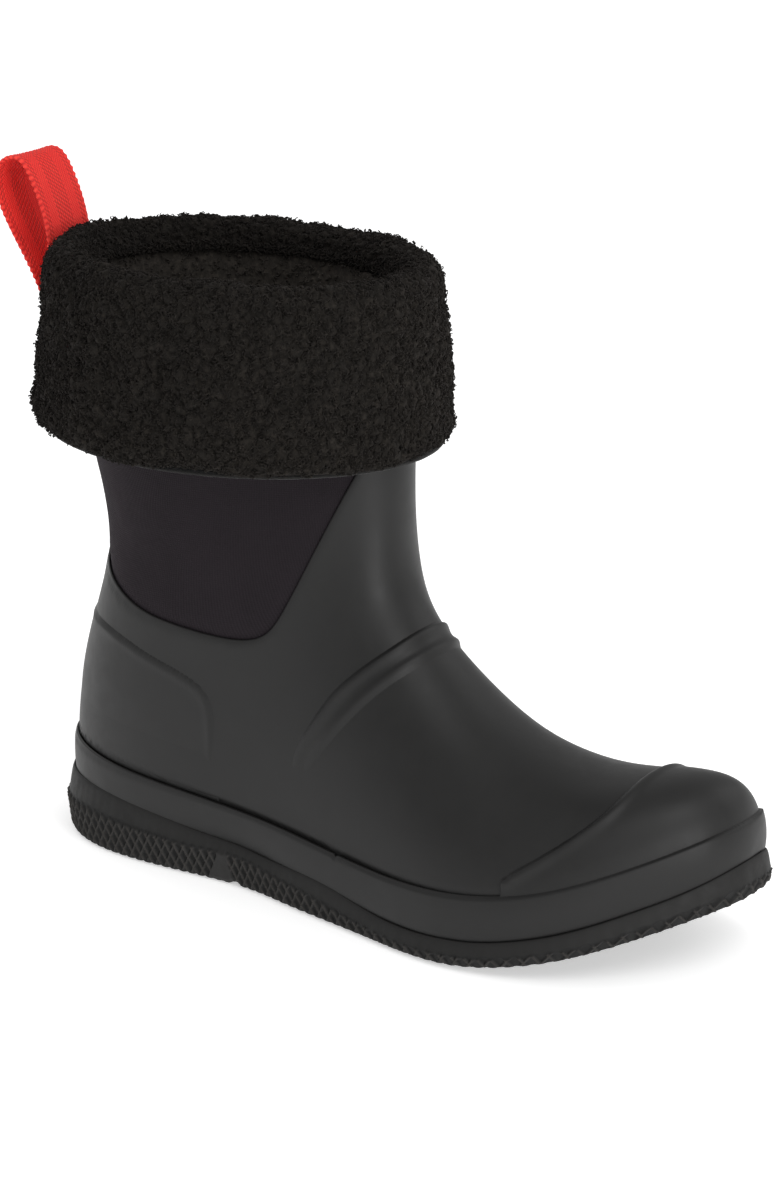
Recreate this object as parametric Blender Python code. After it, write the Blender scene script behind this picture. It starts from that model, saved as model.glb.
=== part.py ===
"""Short pull-on rubber boot for the right foot, with a neoprene shaft and a turned-down fleece cuff.

Frame: +Z up, the toe points to -Y, the outer side of the foot is -X.
The origin is on the ground at the middle of the heel's tread.
Plan and profile sizes below are in millimetres; "forward" is counted from the back of the heel.
"""
import math

import bmesh
import bpy
import numpy as np
from mathutils import Vector
from mathutils.bvhtree import BVHTree

MM = 0.001
HEEL_CENTRE_FORWARD = 40.0      # the origin's distance from the back of the heel

# Sections of the boot's outer surface, from the tip of the toe back and up to the shaft's mouth.
# Each one is a closed loop between a crest point and a keel point:
# crest forward, crest up, keel forward, keel up, half width, shift to the inner side,
# height share of the widest place, squareness of the keel half
SECTIONS = (
    (287, 41, 286.6, 36, 0.5, 14, 0.50, 2.0),
    (281, 62, 283, 23, 18.0, 14, 0.50, 2.0),
    (266, 68, 264, 13, 32.0, 9, 0.40, 4.0),
    (248, 67, 244, 8, 41.5, 4, 0.32, 4.0),
    (228, 67, 220, 4, 46.5, 0, 0.24, 4.0),
    (203, 74, 192, 1, 46.0, -3, 0.22, 4.0),
    (179, 90, 160, 0, 41.0, -3, 0.24, 4.0),
    (158, 113, 120, 0, 35.0, -3, 0.32, 3.6),
    (151, 137, 78, 0, 33.0, -2, 0.40, 3.0),
    (150, 164, 14, -6, 36.0, -1, 0.46, 2.4),
    (149, 188, 4, 58, 41.0, 0, 0.48, 2.0),
    (147, 206, 20, 109, 46.0, 0, 0.50, 2.0),
    (144, 224, 17, 150, 51.0, 0, 0.50, 2.0),
    (143, 244, 5, 200, 56.0, 0, 0.50, 2.0),
    (142, 262, 2, 250, 58.0, 0, 0.50, 2.0),
)
CREST_SQUARENESS = 2.1
HEEL_TURN = (7.5, 9.0)          # the sections between which the keel turns from under the foot to its back
NOSE_SHARE = (1.0, 0.7, 0.3, 0.0)   # how far the first sections also move along the foot with depth
LOOPS_ALONG = 31                # loops on a full-length skin
POINTS_ROUND = 26               # points round each loop

# Heights along the foot: (forward, up)
FEATHER = ((-12, 25.5), (0, 24), (60, 17), (120, 11.5), (180, 8), (235, 15), (286, 36), (300, 43))
TREAD = ((-12, 0), (60, 0), (120, 0), (180, 0), (208, 1.2), (235, 6.2), (290, 27), (300, 31))
FOOT_ENDS = (-14.0, 302.0)      # side-view limits past the heel and the toe
SIDE_REACH = 90.0               # half width of a cutter that crosses the whole boot
SMALLEST_HALF = 0.4             # half width of a section after it was moved inward

# The outline where the upper meets the sole: rays fan out at the heel and the toe, and go straight between
OUTLINE_GRID = (85, 64)
HEEL_MIDDLE = (-1.0, 42.0)
TOE_MIDDLE = (5.0, 232.0)
TOE_RAY_SHIFT = 0.24            # how far the toe's rays lean to the inner side
OUTLINE_RAYS = (10, 15, 12)     # rays at the heel, between, and at the toe
RAY_TRIES = 6
RAY_STEP = 3.0

# Skins of the upper: distances from the outer surface, inward ones below zero
SHELL = (0.0, -1.6)
SLEEVE = (-1.9, -5.4)
STIFFENER = (-5.7, -6.7)
LINING = (-7.0, -9.6)
OVERLAY = (0.4, 1.5)
FOXING = (0.4, 2.3)
HEEL_PATCH = (1.9, 3.0)
GAP = 0.3
SHELL_TOP = 186.0
SLEEVE_TOP = 223.5
FOOT_LINING_TOP = 118.0
FOXING_HIGH = 18.0

# Outsole
TREAD_RINGS = ((0.5, 0.0), (2.6, 0.9))      # (reach beyond the upper, height above the tread)
FLANGE_RINGS = ((4.2, -4.0), (4.9, -3.4), (5.3, -1.6), (4.4, 0.0))  # (reach, height from the top edge)
POCKET_DEEP = 6.0
POCKET_OPEN = 4.0               # how far the pocket's cutter stands above the sole
POCKET_INSET = -7.0
FILLING_INSET = -7.6
POCKET_ROWS = (3, 17)           # first and last places of the pocket along the outline
CORE_SPLIT = 75.0               # where the heel core meets the waist filler
SHANK_HALF = 7.0
SHANK_SPAN = (42.0, 128.0)
SHANK_PLACES = 9
SHANK_LEVELS = (-1.7, -0.4)     # heights from the sole line
SHANK_GROOVE = (-2.0, 2.0)
SHANK_END_GAP = 1.0
BOARD_LEVELS = (0.3, 2.3)

# Side-view outlines: (forward, up)
WINDOW = ((120, 117), (150, 186), (154, 200), (8, 200), (14, 186), (20, 160), (23, 130), (25, 117),
          (43, 109), (56, 103), (72, 100), (92, 98), (105, 99), (113, 104))
COUNTER_EDGE = ((88, 56), (89, 70), (85, 78), (76, 83), (60, 88), (46, 93), (30, 96), (-14, 97))
INSTEP_REAR_EDGE = ((176, 128), (164, 112), (156, 104), (148, 97), (139, 88), (133, 79), (127, 69),
                    (121, 58), (119, 47))
INSTEP_FRONT_EDGE = ((186, 110), (173, 100), (166, 94), (158, 87), (146, 73), (136, 58), (129, 46))
TOE_CAP_EDGE = ((248, 80), (251, 64), (247, 58), (237, 49), (230, 41))
COUNTER_SPAN = (-14.0, 84.0)
INSTEP_SPAN = (118.0, 125.0)
TOE_CAP_SPAN = (225.0, 302.0)
TOE_CAP_TOP = (302, 80)
OVERLAY_STEPS = 14
HEEL_PATCH_SIZE = ((-10, 8), (-20, 30), (43, 76))       # side, forward, up
BACK_STAY_SIZE = ((-6, 6), (-20, 40), (98, SHELL_TOP))
STIFFENER_ABOVE = 3.0
STIFFENER_STEPS = 10
TOE_PUFF_SPAN = (242.0, 302.0)
TOE_PUFF_TOP = ((302, 80), (242, 80))
COUNTER_SHEET_SPAN = (-14.0, 68.0)
COUNTER_SHEET_TOP = ((68, 62), (40, 78), (-14, 84))
SHAFT_REACH = (-30, 200)        # forward limits of a cutter round the shaft

# The turned-down cuff: ellipses as (centre forward, half length, half width, up)
FLEECE_RINGS = (
    (76, 81, 67, 170), (76, 82, 68.5, 175), (76.5, 81, 66, 190), (77, 79.5, 62.5, 210),
    (77, 79, 60, 225), (77, 77.5, 58, 232), (77, 74, 54.5, 236.5), (77, 69, 50, 236),
    (76, 64.5, 47, 232), (75.2, 61.5, 45.5, 226), (75.5, 63, 47, 225.6), (75.5, 73.4, 57.8, 225.6),
    (76, 74.5, 58.7, 210), (77.5, 75.9, 59.9, 190), (77.5, 76.4, 61.9, 173), (77, 78, 63.5, 170),
)
BACKING_RINGS = (
    (77.5, 76.0, 61.2, 171.5), (77.5, 75.5, 59.5, 190), (76, 74.1, 58.3, 210), (75.5, 73.0, 57.4, 225.2),
    (75.5, 62.5, 46.5, 225.2), (75.5, 62.5, 46.5, 224.1), (75.5, 71.9, 56.3, 224.1), (76, 73.0, 57.2, 210),
    (77.5, 74.4, 58.4, 190), (77.5, 74.9, 60.1, 171.5),
)
HEM_RINGS = (
    (77.2, 76.3, 61.3, 169.6), (76.8, 79.0, 64.5, 169.6), (76.8, 79.0, 64.5, 168.2),
    (77.2, 75.2, 60.2, 168.2), (77.2, 75.2, 60.2, 171.1), (77.2, 76.3, 61.3, 171.1),
)
CUFF_POINTS = 48
CUFF_CENTRE = 77.0

# Pull loop: a band folded into an eye, its legs sewn to the back of the cuff. Profile: (forward, up)
LOOP_PROFILE = ((-6.1, 200), (-6.1, 212), (-5.2, 226), (-7.5, 240), (-13, 253), (-20, 260.5), (-27, 258.5),
                (-30, 250), (-26.5, 239), (-18.5, 226), (-10.8, 213), (-8.2, 206), (-8.0, 200))
LOOP_HINGE = (-5.4, 199.9)      # the lower edge of the front leg, where the webbing folds back
LOOP_WIDE = 25.0
LOOP_THICK = 1.5
LOOP_STEPS = 3
ANCHOR_SIZE = (32.0, 14.0, 0.8)
ANCHOR_FROM = (-4.9, 199.0)
STITCH_SIZE = (20.0, 1.4, 0.7)
STITCH_UP = (202.0, 208.0)
REAR_LEG = ((200.0, 206.0, 213.0), (-8.0, -8.2, -10.8))     # the rear leg's heights, and its forward places

BOARD_INSET = -1.3
FOOTBED_INSET = -2.2
FOOTBED_LEVELS = (2.7, 7.0)
COVER_LEVELS = (7.3, 8.5)
FOOTBED_HINGE = (275.0, 33.5)   # the lower edge of the foam's toe end


def clear_scene():
    """Remove every object that is already in the file."""
    for old in list(bpy.data.objects):
        bpy.data.objects.remove(old, do_unlink=True)


def material(name, colour, roughness, metallic=0.0):
    """A Principled material in one colour."""
    made = bpy.data.materials.new(name)
    made.use_nodes = True
    shader = made.node_tree.nodes["Principled BSDF"]
    shader.inputs["Base Color"].default_value = (*colour, 1.0)
    shader.inputs["Roughness"].default_value = roughness
    shader.inputs["Metallic"].default_value = metallic
    made.diffuse_color = (*colour, 1.0)
    return made


def height_at(knots, forward):
    """Smooth height curve through (forward, up) knots."""
    xs = np.array([knot[0] for knot in knots], float)
    ys = np.array([knot[1] for knot in knots], float)
    slope = np.gradient(ys, xs)
    forward = np.clip(np.asarray(forward, float), xs[0], xs[-1])
    i = np.clip(np.searchsorted(xs, forward) - 1, 0, len(xs) - 2)
    span = xs[i + 1] - xs[i]
    t = (forward - xs[i]) / span
    return ((2 * t**3 - 3 * t**2 + 1) * ys[i] + (t**3 - 2 * t**2 + t) * span * slope[i]
            + (3 * t**2 - 2 * t**3) * ys[i + 1] + (t**3 - t**2) * span * slope[i + 1])


def feather_up(forward):
    """Height of the outsole's top edge."""
    return height_at(FEATHER, forward)


def section_at(t, depth):
    """Section values at place t along the boot, moved outward by a depth (inward below zero)."""
    values = np.array(SECTIONS, float)
    slope = np.empty_like(values)
    slope[1:-1] = (values[2:] - values[:-2]) / 2
    slope[0] = values[1] - values[0]
    slope[-1] = values[-1] - values[-2]
    i = min(int(t), len(values) - 2)
    f = t - i
    row = ((2 * f**3 - 3 * f**2 + 1) * values[i] + (f**3 - 2 * f**2 + f) * slope[i]
           + (3 * f**2 - 2 * f**3) * values[i + 1] + (f**3 - f**2) * slope[i + 1])
    spread = depth * min(1.0, t)
    rise = row[0:2] - row[2:4]
    rise /= np.linalg.norm(rise)
    row[0:2] += rise * spread
    row[2:4] -= rise * spread * float(np.interp(t, HEEL_TURN, (0, 1)))
    nose = depth * float(np.interp(t, (0, 1, 2, 3), NOSE_SHARE))
    row[0] += nose
    row[2] += nose
    row[4] = max(row[4] + spread, SMALLEST_HALF)
    return row


def loop_points(t, angles, depth):
    """Points (side, forward, up) of one loop; angle 0 is the keel, pi the crest."""
    crest_f, crest_u, keel_f, keel_u, half, shift, widest, square = section_at(t, depth)
    lift = -np.cos(angles)
    power = np.where(lift > 0, CREST_SQUARENESS, square)
    rise = np.sign(lift) * np.abs(lift) ** (2 / power)
    reach = np.sign(np.sin(angles)) * np.abs(np.sin(angles)) ** (2 / power)
    share = np.where(rise > 0, widest + (1 - widest) * rise, widest + widest * rise)
    return np.stack([shift - half * reach, keel_f + (crest_f - keel_f) * share,
                     keel_u + (crest_u - keel_u) * share], axis=-1)


def boot_grid(loops, around, depth=0.0):
    """Grid of points on the boot's outer surface, or at a depth from it."""
    places = np.linspace(0.0, len(SECTIONS) - 1.0, loops)
    angles = np.linspace(0.0, 2 * math.pi, around, endpoint=False)
    return np.array([loop_points(t, angles, depth) for t in places])


def world(point):
    """Part coordinates in metres of a (side, forward, up) point in millimetres."""
    side, forward, up = point
    return (side * MM, (HEEL_CENTRE_FORWARD - forward) * MM, up * MM)


def make_object(name, points, faces, paint, smooth=True):
    """One mesh object, closed and facing out."""
    mesh = bpy.data.meshes.new(name)
    mesh.from_pydata([world(p) for p in points], [], faces)
    work = bmesh.new()
    work.from_mesh(mesh)
    bmesh.ops.remove_doubles(work, verts=work.verts, dist=1e-6)
    bmesh.ops.recalc_face_normals(work, faces=work.faces)
    if work.calc_volume(signed=True) < 0:
        bmesh.ops.reverse_faces(work, faces=work.faces)
    work.to_mesh(mesh)
    work.free()
    made = bpy.data.objects.new(name, mesh)
    bpy.context.scene.collection.objects.link(made)
    if paint is not None:
        mesh.materials.append(paint)
    for face in mesh.polygons:
        face.use_smooth = smooth
    return made


def skin(name, outside, inside, paint, loops=LOOPS_ALONG, around=POINTS_ROUND):
    """Closed skin of the whole boot between two distances measured outward from the outer surface."""
    layers = [boot_grid(loops, around, outside), boot_grid(loops, around, inside)]
    points = []
    faces = []
    for layer in layers:
        start = len(points)
        points += [tuple(p) for p in layer.reshape(-1, 3)]
        points.append(tuple(layer[0].mean(axis=0)))
        pole = len(points) - 1
        for i in range(loops - 1):
            for j in range(around):
                k = (j + 1) % around
                near = start + i * around
                far = near + around
                faces.append((near + j, near + k, far + k))
                faces.append((near + j, far + k, far + j))
        for j in range(around):
            faces.append((start + j, start + (j + 1) % around, pole))
    size = loops * around + 1
    last = (loops - 1) * around
    for j in range(around):
        k = (j + 1) % around
        faces.append((last + j, last + k, size + last + k, size + last + j))
    return make_object(name, points, faces, paint)


def side_prism(outline, reach=SIDE_REACH):
    """Solid with a side-view outline of (forward, up) points, running across the whole boot."""
    count = len(outline)
    points = [(-reach, f, u) for f, u in outline] + [(reach, f, u) for f, u in outline]
    faces = [tuple(range(count)), tuple(range(2 * count - 1, count - 1, -1))]
    for i in range(count):
        k = (i + 1) % count
        faces.append((i, k, count + k, count + i))
    return make_object("cutter", points, faces, None, smooth=False)


def box(side, forward, up):
    """Box between (low, high) pairs."""
    points = [(x, f, u) for x in side for f in forward for u in up]
    faces = [(0, 1, 3, 2), (4, 6, 7, 5), (0, 4, 5, 1), (2, 3, 7, 6), (0, 2, 6, 4), (1, 5, 7, 3)]
    return make_object("cutter", points, faces, None, smooth=False)


def trim(target, cutter, operation):
    """Boolean with a cutter that is used up."""
    step = target.modifiers.new("trim", "BOOLEAN")
    step.operation = operation
    step.solver = "EXACT"
    step.object = cutter
    bpy.context.view_layer.update()
    shaped = bpy.data.meshes.new_from_object(target.evaluated_get(bpy.context.evaluated_depsgraph_get()))
    target.modifiers.clear()
    target.data = shaped
    bpy.data.objects.remove(cutter, do_unlink=True)
    work = bmesh.new()
    work.from_mesh(shaped)
    bmesh.ops.dissolve_degenerate(work, edges=work.edges, dist=2e-5)
    bmesh.ops.remove_doubles(work, verts=work.verts, dist=2e-5)
    work.to_mesh(shaped)
    work.free()
    for face in shaped.polygons:
        face.use_smooth = True


def sole_line(above, start=FOOT_ENDS[0], stop=FOOT_ENDS[1], steps=40):
    """Side-view points that follow the outsole's top edge at a height above it."""
    places = np.linspace(start, stop, steps)
    return [(float(f), float(feather_up(f) + above)) for f in places]


def keep_above_sole(target, above, top):
    """Keep the part of a skin between the sole line and a level top."""
    line = sole_line(above)
    trim(target, side_prism(line + [(FOOT_ENDS[1], top), (FOOT_ENDS[0], top)]), "INTERSECT")


def outline_rays(hand):
    """Start and direction in plan of the rays of one side, heel to toe."""
    heel, between, toe = OUTLINE_RAYS
    rays = []
    for a in np.radians(np.linspace(0.0, 90.0, heel)[:-1]):
        rays.append((HEEL_MIDDLE, (hand * math.sin(a), -math.cos(a))))
    for share in np.linspace(0.0, 1.0, between):
        middle = tuple(h + (t - h) * share for h, t in zip(HEEL_MIDDLE, TOE_MIDDLE))
        rays.append((middle, (hand, 0.0)))
    for a in np.radians(np.linspace(90.0, 0.0, toe)[1:]):
        rays.append((TOE_MIDDLE, (hand * math.sin(a) + TOE_RAY_SHIFT * math.cos(a), math.cos(a))))
    return rays


def outline_point(tree, ray, above):
    """Where a level ray meets the skin at a height above the sole line."""
    (side, forward), (go_side, go_forward) = ray
    up = float(feather_up(forward)) + above
    hit = None
    for _ in range(RAY_TRIES):
        found = tree.ray_cast(Vector((side, forward, up)), Vector((go_side, go_forward, 0.0)).normalized())
        if found[0] is None:
            up += RAY_STEP
            continue
        hit = (found[0].x, found[0].y)
        up = float(feather_up(hit[1])) + above
    return hit


def foot_outline(depth=0.0, above=2.0):
    """Outline of a skin just above the sole line: two rows of (side, forward), heel to toe."""
    grid = boot_grid(*OUTLINE_GRID, depth)
    loops, around = grid.shape[:2]
    faces = []
    for i in range(loops - 1):
        for j in range(around):
            k = (j + 1) % around
            faces.append((i * around + j, i * around + k, (i + 1) * around + k, (i + 1) * around + j))
    tree = BVHTree.FromPolygons([tuple(p) for p in grid.reshape(-1, 3)], faces)
    rows = []
    for hand in (-1.0, 1.0):
        rows.append(np.array([outline_point(tree, ray, above) for ray in outline_rays(hand)]))
    return rows


def offset_rows(rows, distance):
    """Move the outline's two rows outward in plan."""
    loop = np.vstack([rows[0], rows[1][-2:0:-1]])
    ahead = np.roll(loop, -1, axis=0)
    behind = np.roll(loop, 1, axis=0)
    along = ahead - behind
    out = np.stack([along[:, 1], -along[:, 0]], axis=-1)
    out /= np.linalg.norm(out, axis=1)[:, None]
    if ((loop - loop.mean(axis=0)) * out).sum() < 0:
        out = -out
    moved = loop + out * distance
    first = moved[:len(rows[0])]
    second = np.vstack([moved[:1], moved[len(rows[0]):][::-1], first[-1:]])
    return [first, second]


def stacked(name, rings, paint, smooth=True):
    """Closed solid from rings of equal length, bottom to top, each given as two rows of points."""
    points = []
    faces = []
    count = len(rings[0][0])
    loop = 2 * count - 2
    for first, second in rings:
        points += [tuple(p) for p in first] + [tuple(p) for p in second[-2:0:-1]]
    for level in range(len(rings) - 1):
        for j in range(loop):
            k = (j + 1) % loop
            low = level * loop
            faces.append((low + j, low + k, low + loop + k, low + loop + j))
    for level in (0, len(rings) - 1):
        base = level * loop
        for i in range(count - 1):
            here = base + (loop - i) % loop
            there = base + (loop - i - 1)
            corners = [base + i, base + i + 1, there, here]
            clean = [c for n, c in enumerate(corners) if c not in corners[:n]]
            faces.append(tuple(clean))
    return make_object(name, points, faces, paint, smooth)


def ring_at(rows, distance, up_of):
    """A ring of the sole: the outline moved outward, each point at its own height."""
    moved = offset_rows(rows, distance)
    return [np.column_stack([row, up_of(row[:, 1])]) for row in moved]


def sole_slab(name, rows, distance, levels, paint, places=(0, None)):
    """Slab that follows the sole line; levels are heights above it."""
    part_rows = [row[places[0]:places[1]] for row in offset_rows(rows, distance)]
    rings = []
    for above in levels:
        rings.append([np.column_stack([row, feather_up(row[:, 1]) + above]) for row in part_rows])
    return strip_solid(name, rings, paint)


def strip_solid(name, rings, paint):
    """Closed solid between two rings whose ends may be cut straight across."""
    count = len(rings[0][0])
    points = []
    for first, second in rings:
        points += [tuple(p) for p in first] + [tuple(p) for p in second]
    faces = []
    for level in (0, 1):
        base = level * 2 * count
        for i in range(count - 1):
            faces.append((base + i, base + i + 1, base + count + i + 1, base + count + i))
    top = 2 * count
    for i in range(count - 1):
        faces.append((i, i + 1, top + i + 1, top + i))
        faces.append((count + i, count + i + 1, top + count + i + 1, top + count + i))
    for i in (0, count - 1):
        faces.append((i, count + i, top + count + i, top + i))
    return make_object(name, points, faces, paint)


def tread_up(forward, above):
    """Height of the tread's underside plus a rise; it never dips below the ground."""
    return np.maximum(height_at(TREAD, forward), 0.0) + above


def outsole(rows, paint):
    """Moulded outsole: smooth flange over a side band that leans in, with a pocket in its top."""
    rings = [ring_at(rows, reach, lambda f, rise=rise: tread_up(f, rise)) for reach, rise in TREAD_RINGS]
    rings += [
        ring_at(rows, reach, lambda f, fall=fall: feather_up(f) + fall)
        for reach, fall in FLANGE_RINGS
    ]
    made = stacked("outsole", rings, paint)
    pocket = sole_slab("cutter", rows, POCKET_INSET, (-POCKET_DEEP, POCKET_OPEN), None, POCKET_ROWS)
    trim(made, pocket, "DIFFERENCE")
    return made


def elliptic_ring(name, profile, paint, count=CUFF_POINTS):
    """Closed ring whose cross-section corners are each an ellipse."""
    points = []
    faces = []
    for centre, half_long, half_wide, up in profile:
        for i in range(count):
            a = 2 * math.pi * i / count
            points.append((half_wide * math.cos(a), centre + half_long * math.sin(a), up))
    levels = len(profile)
    for level in range(levels):
        nxt = (level + 1) % levels
        for i in range(count):
            k = (i + 1) % count
            faces.append((level * count + i, level * count + k, nxt * count + k, nxt * count + i))
    return make_object(name, points, faces, paint)


def smooth_line(points, steps):
    """Catmull-Rom line through points."""
    line = np.array(points, float)
    made = []
    for i in range(len(line) - 1):
        p0 = line[max(i - 1, 0)]
        p1 = line[i]
        p2 = line[i + 1]
        p3 = line[min(i + 2, len(line) - 1)]
        for f in np.arange(steps) / steps:
            made.append(0.5 * (2 * p1 + (p2 - p0) * f + (2 * p0 - 5 * p1 + 4 * p2 - p3) * f**2
                               + (3 * p1 - p0 - 3 * p2 + p3) * f**3))
    made.append(line[-1])
    return np.array(made)


def set_pivot(target, forward, up):
    """Move an object's origin to a hinge line without moving its shape."""
    place = Vector(world((0.0, forward, up)))
    for vertex in target.data.vertices:
        vertex.co -= place
    target.location = place


def pull_loop(paint):
    """Webbing eye with its hinge line at the sewn base."""
    line = smooth_line(LOOP_PROFILE, LOOP_STEPS)
    along = np.gradient(line, axis=0)
    out = np.stack([along[:, 1], -along[:, 0]], axis=-1)
    out /= np.linalg.norm(out, axis=1)[:, None]
    points = []
    for side in (-LOOP_WIDE / 2, LOOP_WIDE / 2):
        for thick in (-LOOP_THICK / 2, LOOP_THICK / 2):
            points += [(side, *(p + n * thick)) for p, n in zip(line, out)]
    count = len(line)
    faces = []
    for i in range(count - 1):
        a, b, c, d = i, count + i, 2 * count + i, 3 * count + i
        faces += [(a, a + 1, b + 1, b), (c, c + 1, d + 1, d), (a, a + 1, c + 1, c), (b, b + 1, d + 1, d)]
    for i in (0, count - 1):
        faces.append((i, count + i, 3 * count + i, 2 * count + i))
    made = make_object("pull_loop", points, faces, paint)
    set_pivot(made, *LOOP_HINGE)
    return made


def loop_trim(anchor_paint, thread_paint):
    """Backing patch under the loop's legs and the two rows of stitches through them."""
    wide, high, thick = ANCHOR_SIZE
    anchor = box((-wide / 2, wide / 2), (ANCHOR_FROM[0], ANCHOR_FROM[0] + thick),
                 (ANCHOR_FROM[1], ANCHOR_FROM[1] + high))
    finish_box(anchor, "loop_anchor", anchor_paint)
    set_pivot(anchor, CUFF_CENTRE, 0.0)
    wide, high, thick = STITCH_SIZE
    for name, up in zip(("loop_stitch_lower", "loop_stitch_upper"), STITCH_UP):
        leg_face = float(np.interp(up, *REAR_LEG)) - LOOP_THICK / 2 - 2 * GAP
        stitch = box((-wide / 2, wide / 2), (leg_face - thick, leg_face), (up, up + high))
        finish_box(stitch, name, thread_paint)
        set_pivot(stitch, *LOOP_HINGE)


def finish_box(target, name, paint):
    """Name and paint a box."""
    target.name = name
    target.data.name = name
    target.data.materials.append(paint)


def overlay(name, depths, span, edge, paint):
    """Raised layer on the shell: above the foxing over a span, and bounded by a side-view edge."""
    made = skin(name, *depths, paint)
    line = sole_line(FOXING_HIGH + GAP, *span, steps=OVERLAY_STEPS)
    trim(made, side_prism(line + list(edge)), "INTERSECT")
    return made


def upper(paints):
    """Shell, sleeve, linings, stiffeners and the layers moulded on the shell."""
    shell = skin("rubber_shell", *SHELL, paints["rubber"])
    keep_above_sole(shell, GAP, SHELL_TOP)
    trim(shell, side_prism(WINDOW), "DIFFERENCE")
    sleeve = skin("neoprene_sleeve", *SLEEVE, paints["neoprene"])
    keep_above_sole(sleeve, GAP, SLEEVE_TOP)
    foot_lining = skin("foot_lining", *LINING, paints["lining"])
    keep_above_sole(foot_lining, GAP, FOOT_LINING_TOP)
    shaft_lining = skin("shaft_lining", *LINING, paints["lining"])
    above_foot = box((-SIDE_REACH, SIDE_REACH), SHAFT_REACH, (FOOT_LINING_TOP + GAP, SLEEVE_TOP))
    trim(shaft_lining, above_foot, "INTERSECT")
    foxing = skin("foxing_strip", *FOXING, paints["rubber"])
    trim(foxing, side_prism(sole_line(GAP) + sole_line(FOXING_HIGH)[::-1]), "INTERSECT")
    overlay("toe_cap", OVERLAY, TOE_CAP_SPAN, (TOE_CAP_TOP,) + TOE_CAP_EDGE, paints["rubber"])
    overlay("heel_counter", OVERLAY, COUNTER_SPAN, COUNTER_EDGE, paints["rubber"])
    band_edge = INSTEP_FRONT_EDGE[::-1] + INSTEP_REAR_EDGE
    overlay("instep_band", OVERLAY, INSTEP_SPAN, band_edge, paints["rubber"])
    patch = skin("heel_patch", *HEEL_PATCH, paints["rubber"])
    trim(patch, box(*HEEL_PATCH_SIZE), "INTERSECT")
    stay = skin("back_stay", *OVERLAY, paints["rubber"])
    trim(stay, box(*BACK_STAY_SIZE), "INTERSECT")
    stiffener("toe_puff", TOE_PUFF_SPAN, TOE_PUFF_TOP, paints["stiffener"])
    stiffener("heel_stiffener", COUNTER_SHEET_SPAN, COUNTER_SHEET_TOP, paints["stiffener"])


def stiffener(name, span, top, paint):
    """Sheet between the sleeve and the lining, above the sole line over a span."""
    made = skin(name, *STIFFENER, paint)
    line = sole_line(STIFFENER_ABOVE, *span, STIFFENER_STEPS)
    trim(made, side_prism(line + list(top)), "INTERSECT")


def sole_fillings(rows, paints):
    """Heel core, waist filler and shank in the outsole's pocket, and the board above."""
    shank_places = np.linspace(*SHANK_SPAN, SHANK_PLACES)
    inner = offset_rows(rows, POCKET_INSET)
    heel_end = max(row[POCKET_ROWS[0], 1] for row in inner) + 2 * GAP
    toe_end = min(row[POCKET_ROWS[1] - 1, 1] for row in inner) - 2 * GAP
    for name, span in (("heel_core", (heel_end, CORE_SPLIT - GAP)), ("waist_filler", (CORE_SPLIT, toe_end))):
        levels = (-POCKET_DEEP + GAP, -GAP)
        core = sole_slab(name, rows, FILLING_INSET, levels, paints["filler"], POCKET_ROWS)
        groove = strip(shank_places, SHANK_HALF + GAP, SHANK_GROOVE, SHANK_END_GAP)
        trim(core, groove, "DIFFERENCE")
        trim(core, box((-SIDE_REACH, SIDE_REACH), span, (-SIDE_REACH, SIDE_REACH)), "INTERSECT")
    shank = strip(shank_places, SHANK_HALF, SHANK_LEVELS, 0.0)
    finish_box(shank, "shank", paints["steel"])
    sole_slab("insole_board", foot_outline(LINING[1], GAP), BOARD_INSET, BOARD_LEVELS, paints["board"])


def strip(places, half, levels, longer):
    """Straight strip that follows the sole line."""
    places = np.array(places, float)
    places[0] -= longer
    places[-1] += longer
    rings = []
    for above in levels:
        ups = feather_up(places) + above
        rings.append([np.column_stack([np.full_like(places, side), places, ups]) for side in (-half, half)])
    return strip_solid("cutter", rings, None)


def footbed(paints):
    """Removable insole: foam and its cover, hinged at the toe end."""
    rows = foot_outline(LINING[1], FOOTBED_LEVELS[0])
    foam = sole_slab("footbed_foam", rows, FOOTBED_INSET, FOOTBED_LEVELS, paints["foam"])
    cover = sole_slab("footbed_cover", rows, FOOTBED_INSET, COVER_LEVELS, paints["cover"])
    for target in (foam, cover):
        set_pivot(target, *FOOTBED_HINGE)


def cuff(paints):
    """Turned-down cuff: fleece outside, backing inside, tape along the hem."""
    for name, profile, paint in (("fleece_cuff", FLEECE_RINGS, "fleece"),
                                 ("cuff_backing", BACKING_RINGS, "backing"),
                                 ("cuff_hem_binding", HEM_RINGS, "tape")):
        made = elliptic_ring(name, profile, paints[paint])
        set_pivot(made, CUFF_CENTRE, 0.0)


def paints():
    """Every material of the part, by short name."""
    return {
        "rubber": material("rubber_black", (0.028, 0.027, 0.028), 0.42),
        "sole": material("sole_rubber", (0.022, 0.021, 0.022), 0.62),
        "neoprene": material("neoprene_knit", (0.030, 0.025, 0.029), 0.78),
        "fleece": material("fleece_black", (0.016, 0.014, 0.014), 0.95),
        "backing": material("backing_cloth", (0.020, 0.020, 0.021), 0.90),
        "tape": material("binding_tape", (0.018, 0.018, 0.019), 0.80),
        "webbing": material("red_webbing", (0.72, 0.035, 0.040), 0.70),
        "thread": material("red_thread", (0.60, 0.030, 0.035), 0.60),
        "lining": material("lining_cloth", (0.025, 0.023, 0.023), 0.92),
        "foam": material("footbed_foam", (0.110, 0.110, 0.115), 0.85),
        "cover": material("footbed_cover", (0.030, 0.030, 0.032), 0.90),
        "board": material("board_fibre", (0.360, 0.250, 0.150), 0.85),
        "filler": material("filler_foam", (0.550, 0.530, 0.480), 0.85),
        "steel": material("shank_steel", (0.500, 0.500, 0.520), 0.35, 1.0),
        "stiffener": material("stiffener_fibre", (0.520, 0.470, 0.380), 0.80),
    }


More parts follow.
